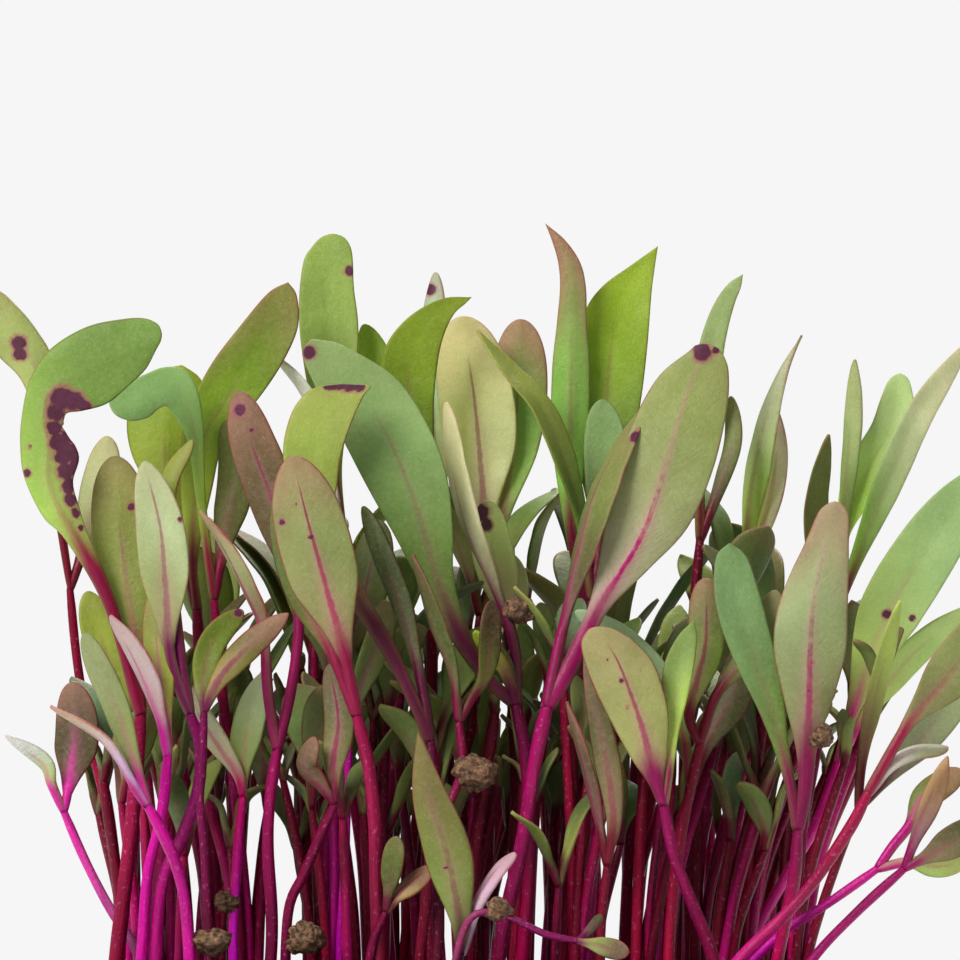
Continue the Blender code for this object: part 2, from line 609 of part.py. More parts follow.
def tuft_solids(grown, husks, grow=0.0):
    """Every closed solid of one tuft, each with its material's number."""
    solids = []
    for one in grown:
        solid, leaf_from = stem_solid(one, grow)
        solids.append((solid, 0, leaf_from))
        for blade in one["leaves"][1:]:
            solids.append((blade_solid(blade, grow), 1, 0))
    for place, radius in husks:
        solids.append((husk_solid(place, radius + grow), 2, 0))
    return solids


def tree_of(solids):
    """One search tree over all triangles of the solids."""
    points = []
    triangles = []
    for (corners, faces), _, _ in solids:
        start = len(points)
        points.extend(np.asarray(corners).tolist())
        triangles.extend([start + i for i in face] for face in faces)
    return BVHTree.FromPolygons(points, triangles)


def plant():
    """Take each tuft's first variant that stays clear of all tufts planted before it."""
    planted = []
    plans = [("front", i) for i in range(len(TUFTS))] + [("filler", i) for i in range(FILLERS)]
    for kind, index in plans:
        for variant in range(VARIANTS):
            if kind == "front":
                root, grown = front_tuft(index, variant)
                husks = husks_of(index, grown)
            else:
                root, grown = filler_tuft(index, variant)
                husks = []
            if any(math.dist(root, other["root"]) < HOLE_SPACING for other in planted):
                continue
            tree = tree_of(tuft_solids(grown, husks, CLEARANCE))
            if any(tree.overlap(other["tree"]) for other in planted):
                continue
            solids = tuft_solids(grown, husks)
            planted.append({
                "name": f"{kind}_tuft_{index + 1:02d}",
                "root": root,
                "solids": solids,
                "tree": tree_of(solids),
                "variant": variant,
            })
            break
        if len(planted) >= MOST_TUFTS:
            break
    return planted


def material(name, color, roughness):
    """A plain surface with this colour and roughness."""
    made = bpy.data.materials.new(name)
    made.use_nodes = True
    shader = made.node_tree.nodes["Principled BSDF"]
    shader.inputs["Base Color"].default_value = (*color, 1.0)
    shader.inputs["Roughness"].default_value = roughness
    return made


def mesh_object(name, points, faces, materials, slot=0):
    """An object from points in mm."""
    mesh = bpy.data.meshes.new(name)
    mesh.from_pydata([tuple(np.array(p) * MM) for p in points], [], [tuple(f) for f in faces])
    for one in materials:
        mesh.materials.append(one)
    mesh.polygons.foreach_set("material_index", [slot] * len(mesh.polygons))
    mesh.update()
    made = bpy.data.objects.new(name, mesh)
    bpy.context.scene.collection.objects.link(made)
    return made


def fused(name, solids, materials):
    """The solids joined by one union into one closed body."""
    pieces = bpy.data.collections.new(f"{name}_pieces")
    bpy.context.scene.collection.children.link(pieces)
    base = None
    for number, ((points, faces), slot, leaf_from) in enumerate(solids):
        made = mesh_object(f"{name}_{number}", points, faces, materials, slot)
        if leaf_from:
            for polygon in made.data.polygons[leaf_from:]:
                polygon.material_index = 1
        if base is None:
            base = made
            continue
        bpy.context.scene.collection.objects.unlink(made)
        pieces.objects.link(made)
    union = base.modifiers.new("Union", "BOOLEAN")
    union.operation = "UNION"
    union.operand_type = "COLLECTION"
    union.collection = pieces
    union.solver = "EXACT"
    bpy.context.view_layer.update()
    graph = bpy.context.evaluated_depsgraph_get()
    mesh = bpy.data.meshes.new_from_object(base.evaluated_get(graph))
    mesh.name = name
    for made in list(pieces.objects) + [base]:
        bpy.data.objects.remove(made)
    bpy.data.collections.remove(pieces)
    result = bpy.data.objects.new(name, mesh)
    bpy.context.scene.collection.objects.link(result)
    return result


def rounded_ring(half, z):
    """Points round a rectangle with rounded corners, anticlockwise from above."""
    quarter = RING_POINTS // 4
    corner = min(CORNER, half[0], half[1])
    points = []
    for number in range(4):
        sign = ((1, 1), (-1, 1), (-1, -1), (1, -1))[number]
        for step in range(quarter):
            angle = (number + step / (quarter - 1)) * math.pi / 2
            points.append((sign[0] * (half[0] - corner) + corner * math.cos(angle),
                           sign[1] * (half[1] - corner) + corner * math.sin(angle), z))
    return points


def grown_half(inset):
    """Half sizes of the tray's inside at the soil's top, made smaller by the inset."""
    return (SOIL_HALF[0] - inset, SOIL_HALF[1] - inset)


def build_tray(plastic):
    """A formed tray: flat base, sloping wall with a step, rolled rim, and drain slots."""
    slope = SOIL_HALF[0] - BASE_HALF[0]
    outer_base = (BASE_HALF[0] + WALL, BASE_HALF[1] + WALL)
    profile = [
        ((outer_base[0] - 1.2, outer_base[1] - 1.2), 0.0),
        (outer_base, 1.2),
        (grown_half(0.9 - WALL), 14.6),
        (grown_half(0.2 - WALL), 15.3),
        (grown_half(-WALL), RIM_TOP - 1.4),
        (grown_half(-2.6), RIM_TOP - 1.0),
        (grown_half(-3.0), RIM_TOP - 2.6),
        (grown_half(-3.8), RIM_TOP - 2.5),
        (grown_half(-3.7), RIM_TOP - 0.5),
        (grown_half(-3.1), RIM_TOP),
        (grown_half(-0.7), RIM_TOP),
        (grown_half(0.0), RIM_TOP - 0.6),
        (grown_half(0.25), 15.6),
        (grown_half(0.95), 14.9),
        ((BASE_HALF[0] + slope * 0.03, BASE_HALF[1] + slope * 0.03), FLOOR + 0.8),
        ((BASE_HALF[0] - 0.9, BASE_HALF[1] - 0.9), FLOOR),
    ]
    rings = np.array([rounded_ring(half, z) for half, z in profile])
    points, faces = close_rings(rings, (0, 0, 0), (0, 0, FLOOR))
    tray = mesh_object("tray", points, faces, [plastic])
    cutters = bpy.data.collections.new("drain_cutters")
    bpy.context.scene.collection.children.link(cutters)
    for x in (-15.0, 0.0, 15.0):
        for y in (-9.0, 9.0):
            slot_rings = []
            for z in (-1.0, FLOOR + 1.0):
                angles = (np.arange(6) + 0.5) / 6 * math.tau
                slot_rings.append(np.column_stack((
                    x + np.cos(angles) * 1.1,
                    y + np.sin(angles) * 1.1 + np.sign(np.round(np.sin(angles), 3)) * 1.6,
                    np.full(6, z))))
            points, faces = close_rings(np.array(slot_rings), (x, y, -1.0), (x, y, FLOOR + 1.0))
            made = mesh_object("drain_cutter", points, faces, [plastic])
            bpy.context.scene.collection.objects.unlink(made)
            cutters.objects.link(made)
            made.hide_render = True
            made.display_type = "WIRE"
    cut = tray.modifiers.new("Drain", "BOOLEAN")
    cut.operand_type = "COLLECTION"
    cut.collection = cutters
    cut.solver = "EXACT"


def soil_height(x, y):
    """The soil's crumbly top: crossing waves that die out towards the tray's wall."""
    waves = np.sin(0.9 * x + 1.3 * np.sin(0.5 * y)) * np.cos(0.8 * y + 0.7 * np.sin(0.6 * x))
    waves = waves + 0.6 * np.sin(1.7 * x - 1.1 * y) + 0.5 * np.cos(2.1 * y + 0.8 * x)
    edge = np.maximum(np.abs(x) / SOIL_HALF[0], np.abs(y) / SOIL_HALF[1])
    return SOIL_TOP + RELIEF * (0.5 * waves * (1 - edge**6) - edge**4)


def build_soil(earth, planted):
    """The soil block: it follows the tray's inside with a small gap, and has a plain round hole
    for each tuft."""
    profile = [
        ((BASE_HALF[0] - 1.2, BASE_HALF[1] - 1.2), FLOOR + SOIL_GAP),
        ((BASE_HALF[0] - SOIL_GAP - 0.1, BASE_HALF[1] - SOIL_GAP - 0.1), FLOOR + 1.1 + SOIL_GAP),
        (grown_half(0.95 + SOIL_GAP + 0.05), 15.0),
        (grown_half(0.3 + SOIL_GAP), 16.0),
        (grown_half(0.1 + SOIL_GAP), SOIL_TOP),
    ]
    rings = [rounded_ring(half, z) for half, z in profile]
    edge = np.array(rings[-1])
    for share in (0.88, 0.68, 0.45, 0.22):
        rings.append(edge * (share, share, 1))
    rings = np.array(rings)
    top = rings[4:]
    rings[4:, :, 2] = soil_height(top[:, :, 0], top[:, :, 1])
    middle = (0, 0, float(soil_height(np.array(0.0), np.array(0.0))))
    points, faces = close_rings(rings, (0, 0, FLOOR + SOIL_GAP), middle)
    soil = mesh_object("soil", points, faces, [earth])
    cutters = bpy.data.collections.new("hole_cutters")
    bpy.context.scene.collection.children.link(cutters)
    for tuft in planted:
        x, y = tuft["root"]
        angles = np.arange(HOLE_SIDES) / HOLE_SIDES * math.tau
        ring = np.column_stack((x + np.cos(angles) * HOLE_RADIUS, y + np.sin(angles) * HOLE_RADIUS))
        hole = np.array([np.column_stack((ring, np.full(HOLE_SIDES, z)))
                         for z in (SOIL_TOP - HOLE_DEPTH, SOIL_TOP + 3.0)])
        points, faces = close_rings(hole, (x, y, SOIL_TOP - HOLE_DEPTH), (x, y, SOIL_TOP + 3.0))
        made = mesh_object("hole_cutter", points, faces, [earth])
        bpy.context.scene.collection.objects.unlink(made)
        cutters.objects.link(made)
        made.hide_render = True
        made.display_type = "WIRE"
    cut = soil.modifiers.new("Holes", "BOOLEAN")
    cut.operand_type = "COLLECTION"
    cut.collection = cutters
    cut.solver = "EXACT"


for old in list(bpy.data.objects):
    bpy.data.objects.remove(old)

stem_red = material("stem_magenta", (0.42, 0.01, 0.14), 0.4)
leaf_green = material("leaf_green", (0.22, 0.38, 0.1), 0.5)
husk_brown = material("husk_brown", (0.2, 0.12, 0.06), 0.9)
tray_black = material("tray_black", (0.02, 0.02, 0.022), 0.5)
soil_dark = material("soil_dark", (0.05, 0.033, 0.022), 0.95)

tufts = plant()
build_tray(tray_black)
build_soil(soil_dark, tufts)
for tuft in tufts:
    fused(tuft["name"], tuft["solids"], [stem_red, leaf_green, husk_brown])
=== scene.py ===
"""Beet microgreens in a small black tray: the looks of every piece, in metres, +Z up.

The seedlings in front follow a front view that is 960 units wide and high, with y down, and 12.5
of its units make 1 mm in the middle of the tray.
"""

import json
import math

import bpy
import numpy as np
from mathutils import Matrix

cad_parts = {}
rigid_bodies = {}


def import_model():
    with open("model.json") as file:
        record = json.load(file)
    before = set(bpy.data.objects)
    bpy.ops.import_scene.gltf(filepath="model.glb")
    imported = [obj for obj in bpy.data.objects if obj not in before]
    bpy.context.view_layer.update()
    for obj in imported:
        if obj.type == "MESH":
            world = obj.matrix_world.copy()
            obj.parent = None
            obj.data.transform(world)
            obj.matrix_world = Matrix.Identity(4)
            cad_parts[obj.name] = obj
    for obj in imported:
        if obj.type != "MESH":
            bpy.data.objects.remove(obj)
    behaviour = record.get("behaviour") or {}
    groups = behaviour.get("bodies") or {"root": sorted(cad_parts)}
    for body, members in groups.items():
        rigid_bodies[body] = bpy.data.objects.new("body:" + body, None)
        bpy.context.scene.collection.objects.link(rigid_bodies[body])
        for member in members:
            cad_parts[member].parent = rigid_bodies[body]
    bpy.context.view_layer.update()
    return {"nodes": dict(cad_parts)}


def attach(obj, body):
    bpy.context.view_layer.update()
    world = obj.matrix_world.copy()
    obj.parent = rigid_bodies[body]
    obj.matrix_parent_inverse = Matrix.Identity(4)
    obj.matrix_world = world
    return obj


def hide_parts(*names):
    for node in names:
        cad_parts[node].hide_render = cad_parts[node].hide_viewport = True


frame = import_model()


# The tray: one piece of thin black plastic, warmed and drawn over a mould. It has a sloping wall
# with a step that stiffens it, a rolled rim to hold it by, and six drain slots in its base.
MM = 0.001
BASE_HALF = (28.0, 17.5)
SOIL_HALF = (31.6, 21.1)
WALL = 1.0
FLOOR = 1.2
RIM_TOP = 20.0
CORNER = 8.0
TRAY_SIDES = 112
DRAIN_SIDES = 24
DRAIN_RADIUS = 1.05
DRAIN_STRETCH = 1.6


def rounded_rings(halves, heights, points):
    """Rings round rectangles with rounded corners: each quarter turns about its own corner's
    centre, so a point is that centre plus the corner's radius times the direction of its angle."""
    halves = np.asarray(halves, float)
    quarter = points // 4
    angle = (np.arange(4)[:, None] + np.linspace(0, 1, quarter)) * math.pi / 2
    sign = np.array(((1, 1), (-1, 1), (-1, -1), (1, -1)))[:, None, :]
    turned = np.stack((np.cos(angle), np.sin(angle)), axis=-1) * CORNER
    flat = (halves[:, None, None, :] - CORNER) * sign + turned
    flat = flat.reshape(len(halves), points, 2)
    level = np.broadcast_to(np.asarray(heights, float)[:, None, None], flat.shape[:2] + (1,))
    return np.concatenate((flat, level), axis=-1)


def closed_faces(rings, sides):
    """Quads between neighbouring rings, and a fan at each end to the two last points."""
    row = np.arange(rings - 1)[:, None] * sides
    here = np.arange(sides)
    there = (here + 1) % sides
    quads = np.stack((row + here, row + there, row + there + sides, row + here + sides), axis=-1)
    first = rings * sides
    last = first - sides
    start = np.stack((np.full(sides, first), there, here), axis=-1)
    end = np.stack((np.full(sides, first + 1), last + here, last + there), axis=-1)
    return quads.reshape(-1, 4), np.concatenate((start, end))


def outward(points, quads, fans):
    """The same faces, turned round where they enclose a negative volume: the sum over triangles
    of the corners' triple product is six times the volume."""
    triangles = np.concatenate((quads[:, :3], quads[:, (0, 2, 3)], fans))
    a, b, c = (points[triangles[:, i]] for i in range(3))
    if np.einsum("ij,ij->", a, np.cross(b, c)) < 0:
        return quads[:, ::-1], fans[:, ::-1]
    return quads, fans


def closed_part(rings, ends, **fields):
    """A part in mm of rings that a fan closes at each end. Its fields are values for each point,
    and an end takes those of its ring's first point."""
    points = np.concatenate((rings.reshape(-1, 3), ends))
    quads, fans = outward(points, *closed_faces(*rings.shape[:2]))
    fields = {key: np.concatenate((field.reshape(-1, 3), field[0, :1], field[-1, :1]))
              for key, field in fields.items()}
    return {"points": points, "quads": quads, "fans": fans, "fields": fields}


def new_piece(name, parts, material, nodes):
    """One mesh object from parts, tied to the frame in place of its nodes."""
    points = np.concatenate([part["points"] for part in parts])
    starts = np.cumsum([0] + [len(part["points"]) for part in parts[:-1]])
    quads = np.concatenate([part["quads"] + s for part, s in zip(parts, starts)])
    fans = np.concatenate([part["fans"] + s for part, s in zip(parts, starts)])
    mesh = bpy.data.meshes.new(name)
    mesh.from_pydata((points * MM).tolist(), [], quads.tolist() + fans.tolist())
    for field in parts[0]["fields"]:
        values = np.concatenate([part["fields"][field] for part in parts]).astype(np.float32)
        made = mesh.attributes.new(field, "FLOAT_VECTOR", "POINT")
        made.data.foreach_set("vector", values.ravel())
    mesh.polygons.foreach_set("use_smooth", np.ones(len(mesh.polygons), bool))
    mesh.update()
    mesh.materials.append(material)
    piece = bpy.data.objects.new(name, mesh)
    bpy.context.scene.collection.objects.link(piece)
    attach(piece, "root")
    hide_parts(*nodes)
    return piece


class Value:
    """A shader socket that takes part in sums: each operation adds one math node."""

    def __init__(self, paint, socket):
        self.paint = paint
        self.socket = socket

    def math(self, operation, *others):
        return self.paint.node("ShaderNodeMath", {"operation": operation},
                               dict(enumerate((self,) + others)))

    def __add__(self, other):
        return self.math("ADD", other)

    __radd__ = __add__

    def __mul__(self, other):
        return self.math("MULTIPLY", other)

    __rmul__ = __mul__

    def __sub__(self, other):
        return self.math("SUBTRACT", other)

    def __rsub__(self, other):
        return (self * -1.0) + other

    def __truediv__(self, other):
        return self.math("DIVIDE", other)

    def step(self, low, high):
        """0 below low, 1 above high, smooth between; low may be the larger one."""
        return self.paint.node("ShaderNodeMapRange", {"interpolation_type": "SMOOTHSTEP"},
                               {"Value": self, "From Min": low, "From Max": high})


class Paint:
    """A material that is built up from nodes."""

    def __init__(self, name):
        self.material = bpy.data.materials.new(name)
        self.material.use_nodes = True
        self.tree = self.material.node_tree
        self.shader = self.tree.nodes["Principled BSDF"]
        self.end = self.tree.nodes["Material Output"]

    def node(self, kind, settings=None, values=None, output=0):
        """A new node with these settings; a value is a number, a colour or another socket."""
        made = self.tree.nodes.new(kind)
        for key, setting in (settings or {}).items():
            setattr(made, key, setting)
        for key, value in (values or {}).items():
            self.feed(made.inputs[key], value)
        return Value(self, made.outputs[output])

    def feed(self, socket, value):
        if isinstance(value, Value):
            self.tree.links.new(value.socket, socket)
        else:
            socket.default_value = value

    def mix(self, share, a, b, blend="MIX"):
        """Two colours mixed by the share of the second one."""
        a, b = (c if isinstance(c, Value) else (*c, 1.0) for c in (a, b))
        return self.node("ShaderNodeMix", {"data_type": "RGBA", "blend_type": blend},
                         {0: share, 6: a, 7: b}, 2)

    def dyed(self, color, dye):
        """A colour multiplied by another one."""
        return self.mix(1.0, color, dye, "MULTIPLY")

    def places(self):
        return self.node("ShaderNodeTexCoord", output="Object")

    def field(self, name):
        """A mesh's own field, as a vector or colour."""
        return self.node("ShaderNodeAttribute",
                         {"attribute_type": "GEOMETRY", "attribute_name": name}, output="Vector")

    def split(self, vector):
        """The three numbers of a vector."""
        made = self.node("ShaderNodeSeparateXYZ", values={0: vector}).socket.node
        return [Value(self, socket) for socket in made.outputs]

    def noise(self, where, scale, detail=3.0, rough=0.55, warp=0.0):
        return self.node("ShaderNodeTexNoise", values={
            "Vector": where, "Scale": scale, "Detail": detail, "Roughness": rough,
            "Distortion": warp})

    def cells(self, where, scale):
        return self.node("ShaderNodeTexVoronoi", values={"Vector": where, "Scale": scale},
                         output="Distance")

    def bump(self, height, strength, depth):
        return self.node("ShaderNodeBump", values={
            "Strength": strength, "Distance": depth, "Height": height})

    def finish(self, **sockets):
        """Feed the main shader's sockets; underscores stand for spaces."""
        for key, value in sockets.items():
            self.feed(self.shader.inputs[key.replace("_", " ")], value)
        return self.material

    def shine_through(self, color, share):
        """Let this share of the surface pass light on to its other side, in this colour."""
        through = self.node("ShaderNodeBsdfTranslucent", values={"Color": color}, output="BSDF")
        skin = self.node("ShaderNodeMixShader", values={
            0: share, 1: Value(self, self.shader.outputs["BSDF"]), 2: through}, output="Shader")
        self.feed(self.end.inputs["Surface"], skin)


def tone(red, green, blue):
    """A colour's linear parts from its three display values out of 255."""
    shown = np.array((red, green, blue)) / 255
    linear = np.where(shown < 0.04045, shown / 12.92, ((shown + 0.055) / 1.055) ** 2.4)
    return tuple(linear.tolist())


def tray_plastic():
    """Black plastic with a fine moulded grain, soft dull streaks, and a little dust."""
    paint = Paint("tray_plastic")
    where = paint.places()
    grain = paint.noise(where, 2600, 2)
    clouds = paint.noise(where, 60, 4)
    dust = paint.noise(where, 420, 5, 0.7).step(0.56, 0.72) * clouds.step(0.42, 0.62)
    color = paint.mix(clouds.step(0.3, 0.7), tone(30, 31, 32), tone(42, 42, 44))
    color = paint.mix(dust * 0.35, color, tone(120, 104, 86))
    return paint.finish(
        Base_Color=color,
        Roughness=clouds.step(0.25, 0.75) * 0.16 + grain * 0.1 + 0.34 + dust * 0.2,
        Normal=paint.bump(grain + clouds * 0.6, 0.25, 0.0001))


slope = SOIL_HALF[0] - BASE_HALF[0]
# The wall's section, as (distance out from the soil's edge, height): up the outside, over the rim
# and down the inside
tray_profile = np.array([
    (-slope - 0.3, 0.0), (-slope + WALL - 0.55, 0.3), (-slope + WALL, 1.2),
    (-0.9 + WALL - 0.12, 13.9), (-0.9 + WALL, 14.5), (-0.55 + WALL, 15.0), (-0.2 + WALL, 15.3),
    (WALL, RIM_TOP - 1.6), (WALL + 0.3, RIM_TOP - 1.12), (2.1, RIM_TOP - 1.0),
    (2.55, RIM_TOP - 1.15), (2.85, RIM_TOP - 2.0), (3.0, RIM_TOP - 2.6), (3.4, RIM_TOP - 2.7),
    (3.8, RIM_TOP - 2.5), (3.78, RIM_TOP - 1.2), (3.66, RIM_TOP - 0.45), (3.4, RIM_TOP - 0.12),
    (3.05, RIM_TOP), (0.75, RIM_TOP), (0.3, RIM_TOP - 0.14), (0.0, RIM_TOP - 0.6),
    (-0.25, 15.7), (-0.45, 15.2), (-0.95, 14.8), (-slope * 0.97, FLOOR + 0.9),
    (-slope - 0.3, FLOOR + 0.25), (-slope - 1.1, FLOOR), (-slope - 8, FLOOR)])
tray_rings = rounded_rings(np.array(SOIL_HALF) + tray_profile[:, :1], tray_profile[:, 1],
                           TRAY_SIDES)
tray = new_piece("tray_shell", [closed_part(tray_rings, ((0, 0, 0), (0, 0, FLOOR)))],
                 tray_plastic(), ["tray"])
cutters = bpy.data.collections.new("drain_cutters")
bpy.context.scene.collection.children.link(cutters)
for x in (-15.0, 0.0, 15.0):
    for y in (-9.0, 9.0):
        angle = np.arange(DRAIN_SIDES) / DRAIN_SIDES * math.tau
        end = np.sign(np.round(np.sin(angle), 3)) * DRAIN_STRETCH
        flat = (x + np.cos(angle) * DRAIN_RADIUS, y + np.sin(angle) * DRAIN_RADIUS + end)
        levels = (-1.0, FLOOR + 0.9)
        rings = np.array([np.column_stack((*flat, np.full(DRAIN_SIDES, z))) for z in levels])
        slot = closed_part(rings, [(x, y, z) for z in levels])
        mesh = bpy.data.meshes.new("drain_cutter")
        mesh.from_pydata((slot["points"] * MM).tolist(), [],
                         slot["quads"].tolist() + slot["fans"].tolist())
        cutters.objects.link(bpy.data.objects.new("drain_cutter", mesh))
cut = tray.modifiers.new("Drain", "BOOLEAN")
cut.operand_type = "COLLECTION"
cut.collection = cutters
cut.solver = "EXACT"
bpy.context.view_layer.update()
pierced = bpy.data.meshes.new_from_object(
    tray.evaluated_get(bpy.context.evaluated_depsgraph_get()))
tray.modifiers.clear()
tray.data = pierced
for cutter in list(cutters.objects):
    bpy.data.objects.remove(cutter)
bpy.data.collections.remove(cutters)


# The soil: dark peaty growing mix, pressed into the tray and crumbly on top. It is one block that
# follows the tray's inside, closed round every stem, with loose crumbs half sunk in its top.
SOIL_TOP = 19.3
SOIL_GAP = 0.3
RELIEF = 0.55
SOIL_SIDES = 160
CRUMBS = 2100


def soil_height(x, y):
    """The crumbly top: crossing waves that die out towards the wall, and finer ones on them."""
    waves = np.sin(0.9 * x + 1.3 * np.sin(0.5 * y)) * np.cos(0.8 * y + 0.7 * np.sin(0.6 * x))
    waves = waves + 0.6 * np.sin(1.7 * x - 1.1 * y) + 0.5 * np.cos(2.1 * y + 0.8 * x)
    fine = np.sin(4.3 * x + 2.0 * np.sin(2.9 * y)) * np.cos(4.7 * y + 1.7 * np.sin(3.7 * x))
    edge = np.maximum(np.abs(x) / SOIL_HALF[0], np.abs(y) / SOIL_HALF[1])
    inner = np.clip(1 - edge**6, 0, 1)
    return SOIL_TOP + RELIEF * (0.5 * waves * inner - edge**4) + 0.12 * fine * inner


def peat():
    """Peaty soil: dark brown grains of mixed tone, with paler fibres and a rough, matt top."""
    paint = Paint("peat")
    where = paint.places()
    grain = paint.noise(where, 900, 6, 0.7)
    clods = paint.cells(where, 520)
    fibre = paint.noise(paint.node("ShaderNodeMapping", values={
        "Vector": where, "Scale": (1.0, 5.0, 1.0), "Rotation": (0.3, 0.5, 0.7)}), 700, 3)
    color = paint.mix(grain.step(0.35, 0.7), tone(38, 27, 20), tone(82, 60, 42))
    color = paint.mix(clods.step(0.0, 0.5) * 0.6, color, tone(24, 17, 13))
    color = paint.mix(fibre.step(0.62, 0.7) * 0.5, color, tone(128, 98, 68))
    return paint.finish(
        Base_Color=color,
        Roughness=grain * 0.15 + 0.82,
        Normal=paint.bump(grain + clods * -0.8 + fibre * 0.4, 0.9, 0.0006))


soil_profile = np.array([
    (-slope - 1.2, FLOOR + SOIL_GAP), (-slope - SOIL_GAP - 0.15, FLOOR + 1.0 + SOIL_GAP),
    (-0.95 - SOIL_GAP - 0.1, 14.8), (-0.45 - SOIL_GAP, 15.9), (-0.1 - SOIL_GAP, SOIL_TOP)])
rings = rounded_rings(np.array(SOIL_HALF) + soil_profile[:, :1], soil_profile[:, 1], SOIL_SIDES)
inward = np.linspace(0.985, 0.02, 54)[:, None, None]
rings = np.concatenate((rings, rings[-1:] * inward))
rings[4:, :, 2] = soil_height(rings[4:, :, 0], rings[4:, :, 1])
peat_skin = peat()
soil_ends = ((0, 0, FLOOR + SOIL_GAP), (0, 0, soil_height(0.0, 0.0)))
new_piece("soil_block", [closed_part(rings, soil_ends)], peat_skin, ["soil"])


def lumps(places, sizes, rng, rings=4, sides=7):
    """Small uneven lumps as one part: on each, a point's distance from the middle is its size
    times one plus a random share, flattened, and turned by a random angle."""
    level = np.linspace(-1, 1, rings + 2)[1:-1] * 0.86
    around = np.arange(sides) / sides * math.tau
    count = len(places)
    spin = rng.uniform(0, math.tau, count)[:, None, None]
    reach = 1 + 0.25 * rng.uniform(-1, 1, (count, rings, sides))
    width = np.sqrt(1 - level**2)[None, :, None] * reach
    squash = rng.uniform(0.6, 0.95, count)[:, None, None]
    shape = np.stack((np.cos(around + spin) * width * rng.uniform(0.8, 1.25, count)[:, None, None],
                      np.sin(around + spin) * width,
                      level[None, :, None] * reach * squash), axis=-1)
    ends = np.zeros((count, 2, 3))
    ends[:, 0, 2] = -0.95 * squash[:, 0, 0]
    ends[:, 1, 2] = 0.95 * squash[:, 0, 0]
    points = np.concatenate((shape.reshape(count, -1, 3), ends), axis=1)
    points = points * np.asarray(sizes)[:, None, None] + np.asarray(places)[:, None, :]
    quads, fans = outward(points[0], *closed_faces(rings, sides))
    start = np.arange(count)[:, None, None] * (rings * sides + 2)
    return {"points": points.reshape(-1, 3), "quads": (quads + start).reshape(-1, 4),
            "fans": (fans + start).reshape(-1, 3), "fields": {}}


crumb_rng = np.random.default_rng(5)
crumb_x = crumb_rng.uniform(-1, 1, CRUMBS) * (SOIL_HALF[0] - 1.6)
crumb_y = crumb_rng.uniform(-1, 1, CRUMBS) * (SOIL_HALF[1] - 1.6)
crumb_size = crumb_rng.uniform(0.12, 0.42, CRUMBS) * crumb_rng.uniform(0.6, 1.3, CRUMBS)
beyond = np.hypot(np.maximum(np.abs(crumb_x) - SOIL_HALF[0] + CORNER, 0),
                  np.maximum(np.abs(crumb_y) - SOIL_HALF[1] + CORNER, 0))
held = beyond < CORNER - 1.4
crumb_places = np.column_stack((crumb_x, crumb_y, soil_height(crumb_x, crumb_y)))[held]
new_piece("soil_crumbs", [lumps(crumb_places, crumb_size[held], crumb_rng)], peat_skin,
          ["soil"])


# The tufts: a seedling is one stem with its pair of leaves, and the few that come from one seed
# ball make a tuft. The front tufts are drawn in the front view, each at its own depth, and the
# rest grow between them by a rule with seeded draws.
ROOT_END = -6.3
STEM_APART = 0.7
VIEW_DISTANCE = 600.0
VIEW_X = 4.0
EYE = SOIL_TOP + 41.6
DRAWING_MIDDLE = 480
UNIT = 0.08
SOIL_LINE = 1000
VARIANTS = 90
SEED = 20
BLADE_HALF = 0.24
STALK_RADIUS = 0.43
YOUNG_FROM = 4
STEM_SLIM = 0.84


def leaf(points, width, away=0.0, turn=0.0, stalk=0.3, belly=0.62, blunt=0.55, cup=0.2):
    """One seed leaf: its midrib's drawn points from the stem's top to the tip, its width in
    drawing units, how far the tip is from the viewer past the stem's top, the blade's turn in
    degrees, the stalk's share of the length, the widest place, how blunt the tip is and how
    much the blade is cupped."""
    return {
        "points": points,
        "width": width,
        "away": away,
        "turn": turn,
        "stalk": stalk,
        "belly": belly,
        "blunt": blunt,
        "cup": cup,
    }


def seedling(stem, thick, back, *leaves):
    """One seedling: the stem's drawn points down from its top, its thickness in drawing units,
    how far its top stands behind the root, and its leaves."""
    return {"stem": stem, "thick": thick, "back": back, "leaves": leaves}


